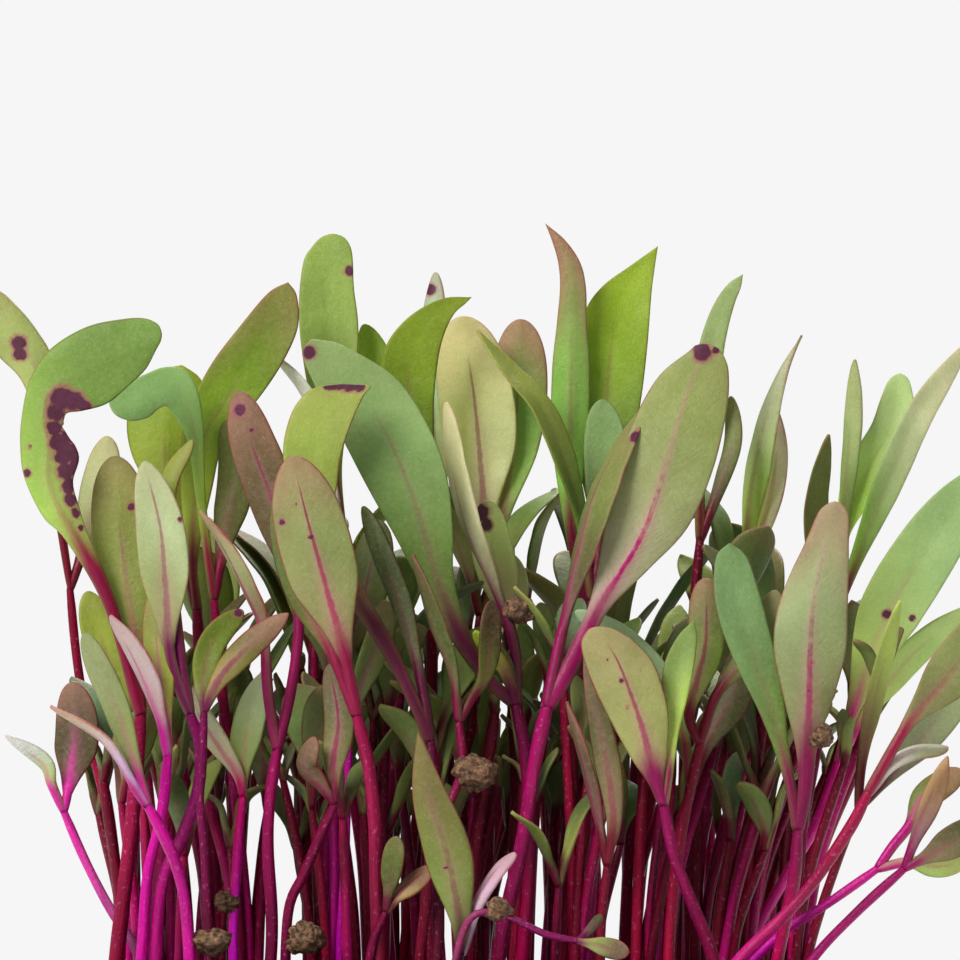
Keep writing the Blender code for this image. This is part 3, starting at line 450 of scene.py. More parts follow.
# Each tuft: where its root is drawn, its depth in mm, its seedlings
TUFTS = [
    (492, -8.0, [
        seedling([(547, 707), (535, 762), (521, 850), (503, 930)], 17, -3.0,
                 leaf([(566, 668), (592, 618), (622, 560), (664, 462), (713, 346)], 88, 2.0, 8,
                      0.24, 0.62, 0.6, 0.12),
                 leaf([(556, 660), (572, 590), (592, 512), (614, 458), (642, 411)], 60, 3.0, 66,
                      0.3, 0.55, 0.7)),
    ]),
    (373, -14.0, [
        seedling([(357, 716), (369, 768), (375, 828), (376, 890)], 17, -1.0,
                 leaf([(344, 650), (326, 585), (308, 520), (292, 456)], 72, -1.0, 4,
                      0.26, 0.56, 0.55, 0.12),
                 leaf([(333, 655), (306, 600), (290, 540), (281, 485)], 44, 2.5, 20, 0.3)),
        seedling([(386, 912), (372, 948)], 11, -1.5,
                 leaf([(390, 882), (397, 836)], 24, -0.5, 200, 0.2),
                 leaf([(402, 893), (431, 867)], 26, 1.0, 40, 0.2, 0.6)),
    ]),
    (768, -9.5, [
        seedling([(798, 830), (794, 880), (785, 922)], 16, -2.5,
                 leaf([(806, 780), (808, 720), (811, 645), (820, 570), (833, 502)], 76, -1.0, 3,
                      0.24, 0.5, 0.75, 0.12),
                 leaf([(794, 800), (775, 742), (754, 680), (738, 612), (729, 543)], 50, 1.5, 184,
                      0.22, 0.6, 0.6, 0.12)),
    ]),
    (726, -13.0, [
        seedling([(664, 806), (674, 855), (692, 903), (712, 955)], 14, -1.0,
                 leaf([(657, 770), (640, 722), (618, 670), (600, 626)], 56, -1.0, 2,
                      0.2, 0.66, 0.5, 0.1),
                 leaf([(668, 762), (676, 695), (695, 621)], 34, 2.0, 190, 0.24, 0.5, 0.7)),
    ]),
    (520, -3.5, [
        seedling([(516, 705), (526, 760), (530, 860), (524, 950)], 17, -2.0,
                 leaf([(488, 680), (462, 634), (439, 575), (402, 482), (362, 409), (318, 343)],
                      86, -2.0, 176, 0.26, 0.62, 0.55, 0.14),
                 leaf([(514, 643), (493, 582), (467, 520), (453, 462), (446, 402)], 44, 3.5, 62,
                      0.34, 0.6, 0.6),
                 leaf([(506, 672), (489, 650), (474, 631)], 17, -1.6, 20, 0.2),
                 leaf([(509, 668), (500, 650), (493, 634)], 15, -0.4, 50, 0.2)),
    ]),
    (436, -10.0, [
        seedling([(430, 742), (436, 800), (438, 880), (437, 955)], 15, 0.0,
                 leaf([(418, 711), (391, 653), (356, 588), (320, 525), (311, 466), (345, 383)],
                      48, 0.0, 186, 0.4, 0.6, 0.45, 0.1),
                 leaf([(423, 690), (404, 612), (384, 560), (363, 506)], 26, 2.0, 30, 0.3)),
        seedling([(459, 722), (462, 770), (446, 815), (437, 880)], 12, 1.0,
                 leaf([(453, 672), (436, 626), (413, 554)], 34, -1.0, 64, 0.15, 0.5, 0.9),
                 leaf([(470, 700), (486, 670), (492, 600)], 26, 3.0, 150, 0.3)),
    ]),
    (202, -15.5, [
        seedling([(148, 806), (162, 832), (177, 868), (186, 913)], 14, -1.0,
                 leaf([(137, 770), (116, 706), (98, 665), (84, 633)], 27, 0.5, 186, 0.2, 0.6, 0.5),
                 leaf([(134, 785), (120, 760), (98, 735), (50, 706)], 24, -1.5, 68, 0.2, 0.5,
                      1.0)),
        seedling([(204, 712), (202, 765), (200, 806), (205, 862)], 11, 2.0,
                 leaf([(220, 678), (250, 645), (289, 613)], 27, -1.5, 6, 0.05, 0.55, 0.75, 0.3),
                 leaf([(203, 678), (214, 640), (243, 610)], 28, 1.6, 176, 0.1, 0.5, 0.5, 0.3)),
    ]),
    (146, -11.5, [
        seedling([(168, 756), (162, 812), (148, 873), (143, 940)], 14, -0.6,
                 leaf([(160, 716), (140, 665), (110, 615)], 32, -1.5, 48, 0.2, 0.5, 0.7, 0.3),
                 leaf([(164, 700), (158, 650), (154, 590)], 30, 2.4, 10, 0.2, 0.6, 0.55)),
        seedling([(190, 714), (200, 745), (198, 790), (182, 838), (160, 893)], 15, 0.6,
                 leaf([(178, 684), (169, 646), (166, 590), (160, 525), (144, 461)], 50, -0.8, 184,
                      0.34, 0.5, 0.62, 0.14),
                 leaf([(180, 650), (172, 575), (166, 490), (193, 440)], 24, 2.6, 30, 0.42)),
    ]),
    (276, -9.5, [
        seedling([(277, 750), (270, 800), (268, 850), (272, 930)], 15, 0.4,
                 leaf([(291, 690), (299, 622), (292, 560), (271, 495), (251, 440), (238, 391)],
                      50, 2.0, 10, 0.44, 0.62, 0.5, 0.16),
                 leaf([(268, 692), (263, 628), (248, 590), (226, 548), (200, 510)], 30, -1.8, 60,
                      0.42, 0.5, 0.9, 0.3)),
        seedling([(335, 804), (322, 832), (304, 874), (288, 914)], 13, -2.6,
                 leaf([(334, 765), (339, 718), (329, 664)], 31, 0.5, 12, 0.1, 0.55, 0.6),
                 leaf([(322, 786), (305, 765), (316, 737)], 28, -1.2, 40, 0.1, 0.6, 0.6, 0.35)),
    ]),
    (236, -12.0, [
        seedling([(243, 796), (239, 832), (236, 880), (233, 940)], 12, -1.0,
                 leaf([(237, 772), (214, 738), (197, 708), (202, 681)], 25, -1.0, 14, 0.1, 0.6,
                      0.5, 0.25),
                 leaf([(243, 760), (250, 720), (264, 671)], 33, 1.0, 192, 0.1, 0.5, 0.75)),
    ]),
    (455, -16.5, [
        seedling([(461, 955)], 15, -0.8,
                 leaf([(460, 918), (447, 852), (428, 790), (418, 729)], 47, -0.8, 10, 0.04, 0.4,
                      1.2, 0.16),
                 leaf([(478, 905), (497, 872), (516, 853)], 20, 1.6, 50, 0.3)),
        seedling([(578, 941), (545, 934), (506, 916), (474, 915), (458, 950)], 9, -2.4,
                 leaf([(600, 946), (629, 952)], 22, -0.8, 170, 0.1),
                 leaf([(590, 930), (601, 915)], 12, 0.8, 20, 0.2)),
    ]),
    (695, -17.5, [
        seedling([(868, 793), (850, 828), (812, 884), (779, 921), (738, 962)], 15, -1.0,
                 leaf([(906, 727), (936, 690), (968, 652), (1010, 600)], 52, 1.0, 174, 0.36, 0.6,
                      0.6, 0.2),
                 leaf([(892, 765), (915, 752), (948, 748)], 26, 3.0, 60, 0.2)),
    ]),
    (775, -14.0, [
        seedling([(904, 869), (858, 911), (812, 960)], 11, -1.0,
                 leaf([(917, 835), (933, 795), (948, 756)], 26, -0.6, 40, 0.14, 0.55, 0.9),
                 leaf([(930, 855), (960, 838), (992, 824)], 34, 1.4, 176, 0.16)),
    ]),
    (714, -8.0, [
        seedling([(877, 869), (827, 904), (789, 928), (752, 962)], 12, -3.0,
                 leaf([(893, 846), (909, 826), (924, 797), (962, 770)], 32, 2.5, 30, 0.5),
                 leaf([(908, 862), (940, 866), (972, 856)], 26, 1.0, 150, 0.3)),
    ]),
    (112, -6.0, [
        seedling([(141, 714), (134, 800), (128, 858), (117, 955)], 17, -1.0,
                 leaf([(119, 642), (90, 572), (58, 508), (43, 432), (60, 366), (106, 337),
                       (161, 329)], 60, -2.0, 4, 0.4, 0.58, 0.45, 0.08),
                 leaf([(137, 650), (124, 560), (114, 456)], 60, 2.6, 8, 0.24, 0.62, 0.5, 0.12)),
    ]),
    (156, -3.0, [
        seedling([(64, 812), (84, 858), (108, 905), (138, 955)], 11, -3.0,
                 leaf([(52, 785), (44, 762), (5, 735)], 22, -1.0, 40, 0.3, 0.4, 1.0),
                 leaf([(68, 790), (76, 735), (72, 682)], 46, 1.2, 14, 0.2, 0.5, 0.5)),
        seedling([(133, 742), (142, 800), (146, 870), (150, 950)], 11, 1.5,
                 leaf([(121, 690), (102, 642), (87, 591)], 36, -0.6, 172, 0.15),
                 leaf([(147, 700), (158, 640), (172, 600)], 30, 1.6, 20, 0.3)),
    ]),
    (668, -8.0, [
        seedling([(700, 744), (690, 790), (678, 855), (670, 930)], 13, -0.6,
                 leaf([(689, 715), (697, 680), (706, 640), (706, 578)], 38, -1.0, 2, 0.24, 0.6,
                      0.45, 0.3),
                 leaf([(715, 698), (738, 668), (762, 645), (776, 590)], 34, 2.8, 20, 0.4)),
    ]),
    (600, -12.0, [
        seedling([(607, 866), (601, 930)], 11, -0.6,
                 leaf([(614, 815), (603, 740), (584, 655)], 27, -0.8, 14, 0.12, 0.4, 0.9),
                 leaf([(597, 810), (583, 755), (567, 701)], 22, 1.2, 56, 0.14, 0.5, 1.0)),
    ]),
    (644, -4.0, [
        seedling([(690, 790), (672, 850), (655, 930)], 13, -1.0,
                 leaf([(684, 735), (664, 682), (624, 640), (575, 611)], 28, -1.0, 196, 0.25),
                 leaf([(708, 742), (734, 690), (745, 640)], 40, 3.0, 18, 0.24)),
    ]),
    (560, 6.0, [
        seedling([(586, 606), (580, 700), (570, 800), (562, 920)], 15, 1.0,
                 leaf([(594, 530), (600, 450), (616, 350), (658, 246)], 66, 2.0, 172, 0.2, 0.5,
                      1.0, 0.16),
                 leaf([(574, 520), (565, 430), (571, 325), (564, 268), (545, 222)], 46, -2.0, 50,
                      0.2, 0.5, 1.1, 0.2)),
    ]),
    (592, 1.0, [
        seedling([(592, 600), (598, 700), (597, 800), (593, 920)], 14, 1.0,
                 leaf([(578, 508), (545, 416), (510, 372), (477, 330)], 40, -1.4, 126, 0.16, 0.5,
                      0.9),
                 leaf([(602, 530), (606, 470), (602, 399)], 44, 2.4, 180, 0.26)),
    ]),
    (512, 2.5, [
        seedling([(508, 652), (513, 720), (515, 800), (512, 920)], 13, 1.0,
                 leaf([(502, 592), (492, 548), (487, 500)], 42, -1.4, 184, 0.2, 0.55, 0.5),
                 leaf([(514, 612), (516, 585), (508, 552)], 26, 1.8, 160, 0.2)),
    ]),
    (482, 13.0, [
        seedling([(490, 580), (494, 680), (490, 800), (484, 920)], 15, 1.0,
                 leaf([(484, 500), (476, 405), (461, 316)], 80, -1.0, 12, 0.2, 0.6, 0.5, 0.12),
                 leaf([(507, 490), (517, 410), (521, 319)], 60, 2.6, 10, 0.2, 0.66, 0.5, 0.12)),
    ]),
    (424, 8.0, [
        seedling([(430, 580), (432, 680), (430, 800), (426, 920)], 15, 1.0,
                 leaf([(424, 490), (407, 412), (408, 345), (436, 309), (471, 297)], 50, -1.4, 172,
                      0.2, 0.55, 0.7, 0.14),
                 leaf([(414, 500), (388, 410), (364, 324)], 44, 2.4, 20, 0.2)),
    ]),
    (402, 15.0, [
        seedling([(438, 600), (430, 700), (416, 820), (406, 930)], 13, 1.0,
                 leaf([(438, 480), (432, 360), (436, 272)], 34, 1.0, 30, 0.2),
                 leaf([(455, 520), (492, 440), (512, 400)], 40, -1.0, 190, 0.2)),
    ]),
    (222, 4.0, [
        seedling([(197, 610), (202, 690), (208, 780), (218, 920)], 15, 0.4,
                 leaf([(188, 530), (202, 442), (234, 384), (270, 330), (290, 284)], 60, -1.4, 172,
                      0.18, 0.55, 0.6, 0.14),
                 leaf([(184, 530), (168, 460), (163, 405), (182, 364)], 62, 2.6, 14, 0.2, 0.6,
                      0.45)),
    ]),
    (318, 6.0, [
        seedling([(344, 560), (342, 680), (332, 800), (321, 920)], 15, 1.0,
                 leaf([(336, 450), (330, 345), (336, 234)], 58, 1.6, 176, 0.2, 0.64, 0.5, 0.12),
                 leaf([(330, 470), (308, 398), (271, 351)], 30, -2.0, 66, 0.3, 0.6, 0.8)),
    ]),
    (250, 0.0, [
        seedling([(214, 600), (222, 690), (236, 800), (247, 920)], 13, 1.0,
                 leaf([(198, 500), (186, 405), (168, 371), (140, 377), (111, 404)], 42, -2.0, 176,
                      0.2, 0.66, 0.5),
                 leaf([(226, 530), (236, 470), (226, 420)], 40, 2.2, 16, 0.2)),
    ]),
    (128, 3.0, [
        seedling([(70, 590), (77, 660), (90, 740), (112, 840)], 11, 0.6,
                 leaf([(58, 500), (36, 402), (-4, 326), (-42, 288)], 52, 1.0, 10, 0.22, 0.55, 0.6),
                 leaf([(86, 540), (98, 486), (108, 436)], 40, 2.6, 20, 0.2)),
    ]),
    (690, 5.0, [
        seedling([(700, 540), (692, 640), (688, 760), (689, 900)], 14, 1.0,
                 leaf([(703, 450), (716, 345), (743, 275)], 30, 1.0, 176, 0.2, 0.6, 0.7),
                 leaf([(722, 480), (733, 440), (731, 396)], 32, 2.6, 20, 0.2)),
    ]),
    (722, 8.0, [
        seedling([(745, 580), (738, 680), (730, 800), (724, 920)], 13, 1.0,
                 leaf([(752, 500), (766, 425), (782, 376), (802, 335)], 34, -1.0, 40, 0.1, 0.36,
                      1.6),
                 leaf([(766, 520), (777, 460), (774, 402)], 36, 2.4, 20, 0.16, 0.5, 0.7)),
    ]),
    (760, 13.0, [
        seedling([(842, 580), (824, 680), (796, 800), (770, 920)], 14, 1.0,
                 leaf([(862, 500), (883, 435), (899, 372)], 60, 1.0, 174, 0.2, 0.6, 0.5),
                 leaf([(846, 500), (852, 430), (855, 359)], 24, -2.0, 40, 0.2, 0.6, 0.7)),
    ]),
    (738, 3.0, [
        seedling([(838, 762), (818, 820), (784, 880), (752, 940)], 13, 1.0,
                 leaf([(856, 700), (884, 622), (928, 548), (984, 468)], 66, -1.0, 176, 0.16, 0.55,
                      0.6, 0.16),
                 leaf([(872, 704), (918, 648), (984, 602)], 36, 2.0, 150, 0.2, 0.5, 0.7)),
    ]),
    (786, 10.0, [
        seedling([(826, 640), (818, 740), (800, 840), (790, 930)], 13, 1.0,
                 leaf([(816, 560), (815, 500), (829, 434)], 40, -1.0, 130, 0.2, 0.5, 0.8),
                 leaf([(864, 540), (916, 420), (972, 338)], 34, 2.0, 160, 0.2, 0.5, 0.8)),
    ]),
    (800, -4.0, [
        seedling([(858, 810), (838, 860), (812, 940)], 11, -1.0,
                 leaf([(884, 782), (916, 745), (950, 700), (972, 660)], 40, -0.6, 178, 0.2),
                 leaf([(862, 760), (876, 690), (900, 600)], 26, 2.6, 140, 0.2, 0.5, 0.8)),
    ]),
    (333, -3.0, [
        seedling([(334, 700), (334, 800), (334, 900)], 14, 0.4,
                 leaf([(322, 640), (304, 590), (300, 530)], 40, -0.6, 168, 0.2),
                 leaf([(350, 640), (366, 590), (380, 520)], 44, 2.6, 14, 0.2)),
        seedling([(349, 740), (347, 800), (345, 870), (340, 950)], 11, -1.6,
                 leaf([(360, 690), (378, 640), (386, 600)], 30, -0.6, 160, 0.2),
                 leaf([(340, 690), (336, 640), (340, 600)], 26, 1.6, 30, 0.2)),
    ]),
]


def drawn(point, depth):
    """The point in mm that is seen at this place of the front view, at this depth: the view's
    lines spread from an eye 600 mm before the middle."""
    spread = UNIT * (1 + depth / VIEW_DISTANCE)
    x = VIEW_X + (point[0] - DRAWING_MIDDLE) * spread
    z = EYE + (DRAWING_MIDDLE - point[1]) * spread
    return (x, depth, z)


def seen(points):
    """The places of the front view where points in mm are seen: the reverse of drawn."""
    spread = UNIT * (1 + points[..., 1] / VIEW_DISTANCE)
    return np.stack((DRAWING_MIDDLE + (points[..., 0] - VIEW_X) / spread,
                     DRAWING_MIDDLE - (points[..., 2] - EYE) / spread), axis=-1)


def arched(start, end, count):
    """Depths from start to end, slow at first, as a leaf arches away."""
    return start + (end - start) * np.linspace(0, 1, count) ** 1.4


def root_points(x, depth, number, count):
    """The stem's foot: upright out of the soil. Two stems of one seed ball rise side by side,
    and the second forks from the first one's root."""
    if count == 1:
        return [(x, depth, SOIL_TOP + ROOT_END), (x, depth, SOIL_TOP - 0.6)]
    first = x - STEM_APART
    second = x + STEM_APART
    if number == 0:
        return [(first, depth, SOIL_TOP + ROOT_END), (first, depth, SOIL_TOP - 0.6)]
    return [(first + 0.1, depth, SOIL_TOP + ROOT_END + 0.8),
            (second, depth, SOIL_TOP - 2.6),
            (second, depth, SOIL_TOP - 0.4)]


def front_tuft(index, variant):
    """A drawn tuft's seedlings in mm. Every variant past the first draws a new depth for the
    tuft and new depths for its stem tops and leaf tips."""
    root, depth, seedlings = TUFTS[index]
    rng = np.random.default_rng([SEED, index, variant])
    reach = 0 if variant == 0 else 1
    depth = depth + reach * rng.uniform(-1, 1) * min(1.0 + 0.12 * variant, 8.0)
    depth = min(max(depth, -18.0), 18.0)
    x = drawn((root, SOIL_LINE), depth)[0]
    grown = []
    order = np.argsort([one["stem"][-1][0] for one in seedlings])
    for number, one in enumerate(seedlings):
        top_depth = depth + one["back"] + reach * rng.uniform(-1, 1) * 2.0
        fall = np.array([SOIL_LINE - point[1] for point in one["stem"]][::-1])
        share = np.clip(fall / fall[-1], 0, 1) ** 1.2
        path = [drawn(point, depth + (top_depth - depth) * s)
                for point, s in zip(one["stem"][::-1], share)]
        place = int(np.flatnonzero(order == number)[0])
        stem = root_points(x, depth, place, len(seedlings)) + path
        leaves = []
        for blade in one["leaves"]:
            tip_depth = top_depth + blade["away"] + reach * rng.uniform(-1, 1) * 2.4
            depths = arched(top_depth, tip_depth, len(blade["points"]) + 1)
            points = [path[-1]]
            points += [drawn(point, at) for point, at in zip(blade["points"], depths[1:])]
            leaves.append({**blade, "points": np.array(points), "half": blade["width"] * UNIT / 2,
                           "turn": math.radians(blade["turn"]), "side": None, "fine": True})
        grown.append({"stem": np.array(stem), "radius": one["thick"] * UNIT / 2,
                      "leaves": leaves, "fork": place > 0})
    return grown


def filler_tuft(index, variant):
    """A tuft of one or two seedlings grown by rule: a place on the soil, stems that lean outward
    and a little to the right, and two leaves that spread to opposite sides."""
    rng = np.random.default_rng([SEED, 1000 + index, variant])
    x = rng.uniform(-23, 25)
    depth = rng.uniform(-12, 18)
    level = 0.5 + 0.5 * min((depth + 12) / 16, 1.0)
    grown = []
    count = 2 if variant < VARIANTS // 3 else 1
    small = 1.0 - 0.35 * variant / VARIANTS
    for number in range(count):
        height = (rng.uniform(17, 33) - 0.2 * abs(x)) * level
        lean = np.array((0.2 * max(x, -10) + rng.uniform(-1, 3.5),
                         0.22 * depth + rng.uniform(-3, 3)))
        lean = lean * height / 30
        top = np.array((x + lean[0], depth + lean[1], SOIL_TOP + height))
        middle = np.array((x + lean[0] * 0.35, depth + lean[1] * 0.35, SOIL_TOP + height * 0.5))
        stem = root_points(x, depth, number, count) + [tuple(middle), tuple(top)]
        around = rng.uniform(0, math.tau)
        leaves = []
        for half_turn in (0, math.pi):
            angle = around + half_turn + rng.uniform(-0.4, 0.4)
            out = np.array((math.cos(angle), math.sin(angle), 0))
            length = rng.uniform(12, 19) * small * level
            rise = math.radians(rng.uniform(52, 78))
            first = top + length * 0.3 * (out * math.cos(rise) * 0.7 + (0, 0, math.sin(rise)))
            second = first + length * 0.4 * (out * math.cos(rise) + (0, 0, math.sin(rise)))
            tip = second + length * 0.35 * (out * math.cos(rise - 0.4)
                                            + (0, 0, math.sin(rise - 0.4)))
            leaves.append({
                "points": np.array((top, first, second, tip)),
                "half": rng.uniform(1.7, 2.8) * small * level,
                "turn": rng.uniform(-0.4, 0.4),
                "stalk": 0.25,
                "belly": rng.uniform(0.5, 0.68),
                "blunt": rng.uniform(0.5, 0.8),
                "cup": 0.2,
                "side": np.array((math.sin(angle), -math.cos(angle), 0)),
                "fine": False,
            })
        grown.append({"stem": np.array(stem), "radius": rng.uniform(0.42, 0.6),
                      "leaves": leaves, "fork": number > 0})
    return grown


def as_planted(name):
    """A node's seedlings: the variant whose leaf tips are all corners of the node's mesh."""
    mesh = frame["nodes"][name].data
    corners = np.empty(len(mesh.vertices) * 3)
    mesh.vertices.foreach_get("co", corners)
    corners = corners.reshape(-1, 3) / MM
    kind, number = name.split("_tuft_")
    grow = front_tuft if kind == "front" else filler_tuft
    for variant in range(VARIANTS):
        grown = grow(int(number) - 1, variant)
        tips = np.array([blade["points"][-1] for one in grown for blade in one["leaves"]])
        off = np.linalg.norm(corners[None, :, :] - tips[:, None, :], axis=2).min(axis=1)
        if off.max() < 0.1:
            return grown
    raise ValueError(f"{name} matches no variant")


def smooth(points):
    """A dense smooth curve through the points: a Catmull-Rom spline with mirrored ends."""
    ends = (2 * points[0] - points[1], 2 * points[-1] - points[-2])
    knots = np.vstack((ends[0], points, ends[1]))
    a, b, c, d = (knots[i:len(points) - 1 + i, None, :] for i in range(4))
    t = np.linspace(0, 1, 13)[:-1, None]
    bends = 0.5 * (2 * b + (c - a) * t + (2 * a - 5 * b + 4 * c - d) * t**2
                   + (3 * b - a - 3 * c + d) * t**3)
    return np.vstack((bends.reshape(-1, 3), points[-1:]))


def measured(line):
    """The share of the length at each point of a dense line, and the length in mm."""
    steps = np.linalg.norm(np.diff(line, axis=0), axis=1)
    return np.concatenate(([0], np.cumsum(steps))) / steps.sum(), steps.sum()


def read_off(stations, share, rows):
    """Points or directions that are known at these shares, read off at the stations."""
    return np.column_stack([np.interp(stations, share, rows[:, i]) for i in range(3)])


def walk(points, stations):
    """Places and unit directions on the smooth curve at these shares of its length, and the
    length in mm."""
    dense = smooth(points)
    share, length = measured(dense)
    aim = read_off(stations, share, np.gradient(dense, axis=0))
    return read_off(stations, share, dense), aim / np.linalg.norm(aim, axis=1)[:, None], length


def eased(values, low, high):
    """0 at low and before, 1 at high and past it, with a smooth S between them."""
    t = np.clip((values - low) / (high - low), 0, 1)
    return t * t * (3 - 2 * t)


def blended(share, a, b):
    """Colours or values a and b mixed by an array of shares."""
    return np.asarray(a) + (np.asarray(b) - np.asarray(a)) * share[..., None]


def blade_sizes(blade, stations):
    """The share of the blade that is passed, half the width and half the thickness along a
    leaf: a round stalk, then a blade that is widest at its belly and closes to the tip as a
    power of what is left."""
    u = np.clip((stations - blade["stalk"] * 0.8) / (1 - blade["stalk"] * 0.8), 0, 1)
    belly = blade["belly"]
    blunt = blade["blunt"]
    rise = blunt * belly / (1 - belly)
    swell = (u / belly) ** rise * ((1 - u) / (1 - belly)) ** blunt
    swell = swell * (0.3 + 0.7 * eased(u, 0.0, 0.42))
    stalk = STALK_RADIUS * (1 - u**3)
    half = stalk + np.maximum(blade["half"] - stalk, 0.1) * swell
    thick = BLADE_HALF * (1 - 0.35 * u) + (STALK_RADIUS - BLADE_HALF) * (1 - u) ** 7
    return u, half, thick


def blade_frame(blade, aims):
    """Unit directions across a blade and off its upper face. A drawn blade lies in the front
    view until it is turned; a blade grown by rule keeps its level cross direction."""
    if blade["side"] is None:
        wide = np.cross(aims, (0.0, 1.0, 0.0))
    else:
        wide = blade["side"] - aims * (aims @ blade["side"])[:, None]
    wide = wide / np.linalg.norm(wide, axis=1)[:, None]
    face = np.cross(wide, aims)
    wide = wide * np.cos(blade["turn"]) + face * np.sin(blade["turn"])
    return wide, np.cross(wide, aims)


def late_seedling(root, number, variant):
    """A thinner seedling from the same seed ball that came up late: its root is set beside the
    tuft's, its stem leans outward, and its two leaves spread to opposite sides. Each variant is
    another draw, and a higher one is a little smaller. Those with a high number came up last and
    have small leaves."""
    young = number >= YOUNG_FROM
    size = 1 - 0.01 * variant
    small = 0.5 if young else 1.0
    rng = np.random.default_rng([SEED, int(root[0] * 10) + 900, int(root[1] * 10) + 900, number,
                                 variant])
    x, depth = root[:2]
    beside = rng.uniform(0, math.tau)
    foot = np.array((x + 0.7 * math.cos(beside), depth + 0.7 * math.sin(beside)))
    height = rng.uniform(16, 30 if depth > 2 else 20) * (1 - 0.006 * variant)
    height = rng.uniform(16, 26) if young else height
    lean = np.array((0.16 * max(x, -12) + rng.uniform(-3.5, 4.5),
                     0.12 * depth + rng.uniform(-2, 4))) * height / 30
    top = np.array((*(foot + lean), SOIL_TOP + height))
    middle = np.array((*(foot + lean * 0.3), SOIL_TOP + height * 0.5))
    stem = [(x, depth, SOIL_TOP + ROOT_END + 1), (*foot, SOIL_TOP - 0.5), tuple(middle),
            tuple(top)]
    around = rng.uniform(0, math.tau)
    leaves = []
    for half_turn in (0, math.pi):
        angle = around + half_turn + rng.uniform(-0.5, 0.5)
        out = np.array((math.cos(angle), math.sin(angle), 0))
        length = rng.uniform(10, 17) * size * small
        points = [top]
        for share, rise in ((0.3, 0.2), (0.4, 0.0), (0.35, -0.4)):
            rise = rise + math.radians(rng.uniform(55, 80))
            points.append(points[-1] + length * share
                          * (out * math.cos(rise) + (0, 0, math.sin(rise))))
        leaves.append({
            "points": np.array(points),
            "half": rng.uniform(1.4, 2.5) * size * small,
            "turn": rng.uniform(-0.5, 0.5),
            "stalk": rng.uniform(0.2, 0.32),
            "belly": rng.uniform(0.5, 0.68),
            "blunt": rng.uniform(0.5, 0.8),
            "cup": 0.2,
            "side": np.array((math.sin(angle), -math.cos(angle), 0)),
            "fine": False,
        })
    return {"stem": np.array(stem), "radius": rng.uniform(0.34, 0.5), "leaves": leaves,
            "fork": True}


# The late seedlings, picked to stand clear of the others above their lowest 5 mm: their numbers
# and variants in each tuft
LATE = {
    "filler_tuft_01": ((0, 50), (4, 59), (7, 15)),
    "filler_tuft_02": ((0, 27), (5, 25), (6, 27)),
    "filler_tuft_03": ((0, 26), (1, 34), (4, 33), (5, 28)),
    "filler_tuft_04": ((0, 49), (1, 29), (4, 34)),
    "filler_tuft_05": ((0, 29), (1, 48), (2, 41)),
    "filler_tuft_06": ((0, 53), (4, 45), (7, 20)),
    "filler_tuft_07": ((4, 0), (5, 0), (6, 15)),
    "filler_tuft_09": ((0, 2), (1, 53), (2, 43), (4, 52)),
    "filler_tuft_10": ((0, 11), (2, 47), (5, 26), (7, 55)),
    "filler_tuft_11": ((0, 6), (1, 41), (4, 40), (5, 46)),
    "filler_tuft_13": ((0, 7), (1, 50), (3, 43)),
    "filler_tuft_14": ((0, 38), (5, 53), (7, 14)),
    "filler_tuft_18": ((0, 49), (2, 19), (4, 51), (5, 47)),
    "filler_tuft_22": ((0, 15), (1, 35), (2, 50), (5, 42)),
    "filler_tuft_23": ((0, 23), (1, 39), (4, 35), (6, 53)),
    "filler_tuft_24": ((0, 8), (4, 2)),
    "filler_tuft_25": ((1, 41), (2, 57), (4, 23)),
    "filler_tuft_29": ((0, 51), (4, 49)),
    "front_tuft_05": ((4, 10), (5, 20), (7, 21)),
    "front_tuft_16": ((0, 12), (1, 21), (4, 47)),
    "front_tuft_19": ((4, 12), (6, 37)),
    "front_tuft_20": ((0, 27), (2, 47), (4, 9), (7, 28)),
    "front_tuft_21": ((0, 41), (4, 18), (6, 27)),
    "front_tuft_22": ((0, 34), (1, 53)),
    "front_tuft_23": ((0, 46), (1, 45), (3, 51)),
    "front_tuft_24": ((0, 49), (1, 49), (2, 50), (5, 11)),
    "front_tuft_25": ((0, 0), (1, 51), (4, 2), (5, 41)),
    "front_tuft_26": ((0, 17), (1, 51), (3, 50), (5, 58)),
    "front_tuft_27": ((0, 52), (1, 1), (4, 45), (6, 59)),
    "front_tuft_28": ((0, 26), (1, 54), (5, 54), (6, 58), (7, 57)),
    "front_tuft_29": ((0, 36), (1, 47), (4, 43), (6, 41)),
    "front_tuft_30": ((0, 1), (1, 43), (4, 48), (5, 36), (6, 15)),
    "front_tuft_31": ((0, 54), (3, 54), (4, 54)),
    "front_tuft_32": ((0, 39), (1, 38), (4, 49)),
    "front_tuft_33": ((0, 18), (1, 9), (3, 50), (6, 54), (7, 29)),
    "front_tuft_34": ((0, 12), (4, 7), (6, 22), (7, 55)),
    "front_tuft_35": ((4, 16), (5, 41), (6, 51)),
    "front_tuft_36": ((0, 9), (1, 50), (6, 47)),
}
planted = {name: as_planted(name) for name in sorted(frame["nodes"]) if "_tuft_" in name}
for name, grown in planted.items():
    for one in grown:
        one["radius"] = one["radius"] * STEM_SLIM
    root = grown[0]["stem"][0]
    grown.extend(late_seedling(root, number, variant) for number, variant in LATE.get(name, ()))


# The stems: each rises out of the soil, round, thin and shiny, vivid magenta to dark crimson, with
# fine lengthwise streaks. The second stem of a tuft forks from the foot of the first one.
STEM_SIDES = 12
STEM_STEP = 0.65
BRIGHT_RED = tone(190, 18, 118)
CRIMSON = tone(140, 8, 50)
STREAK_DYE = (0.42, 0.3, 0.36)
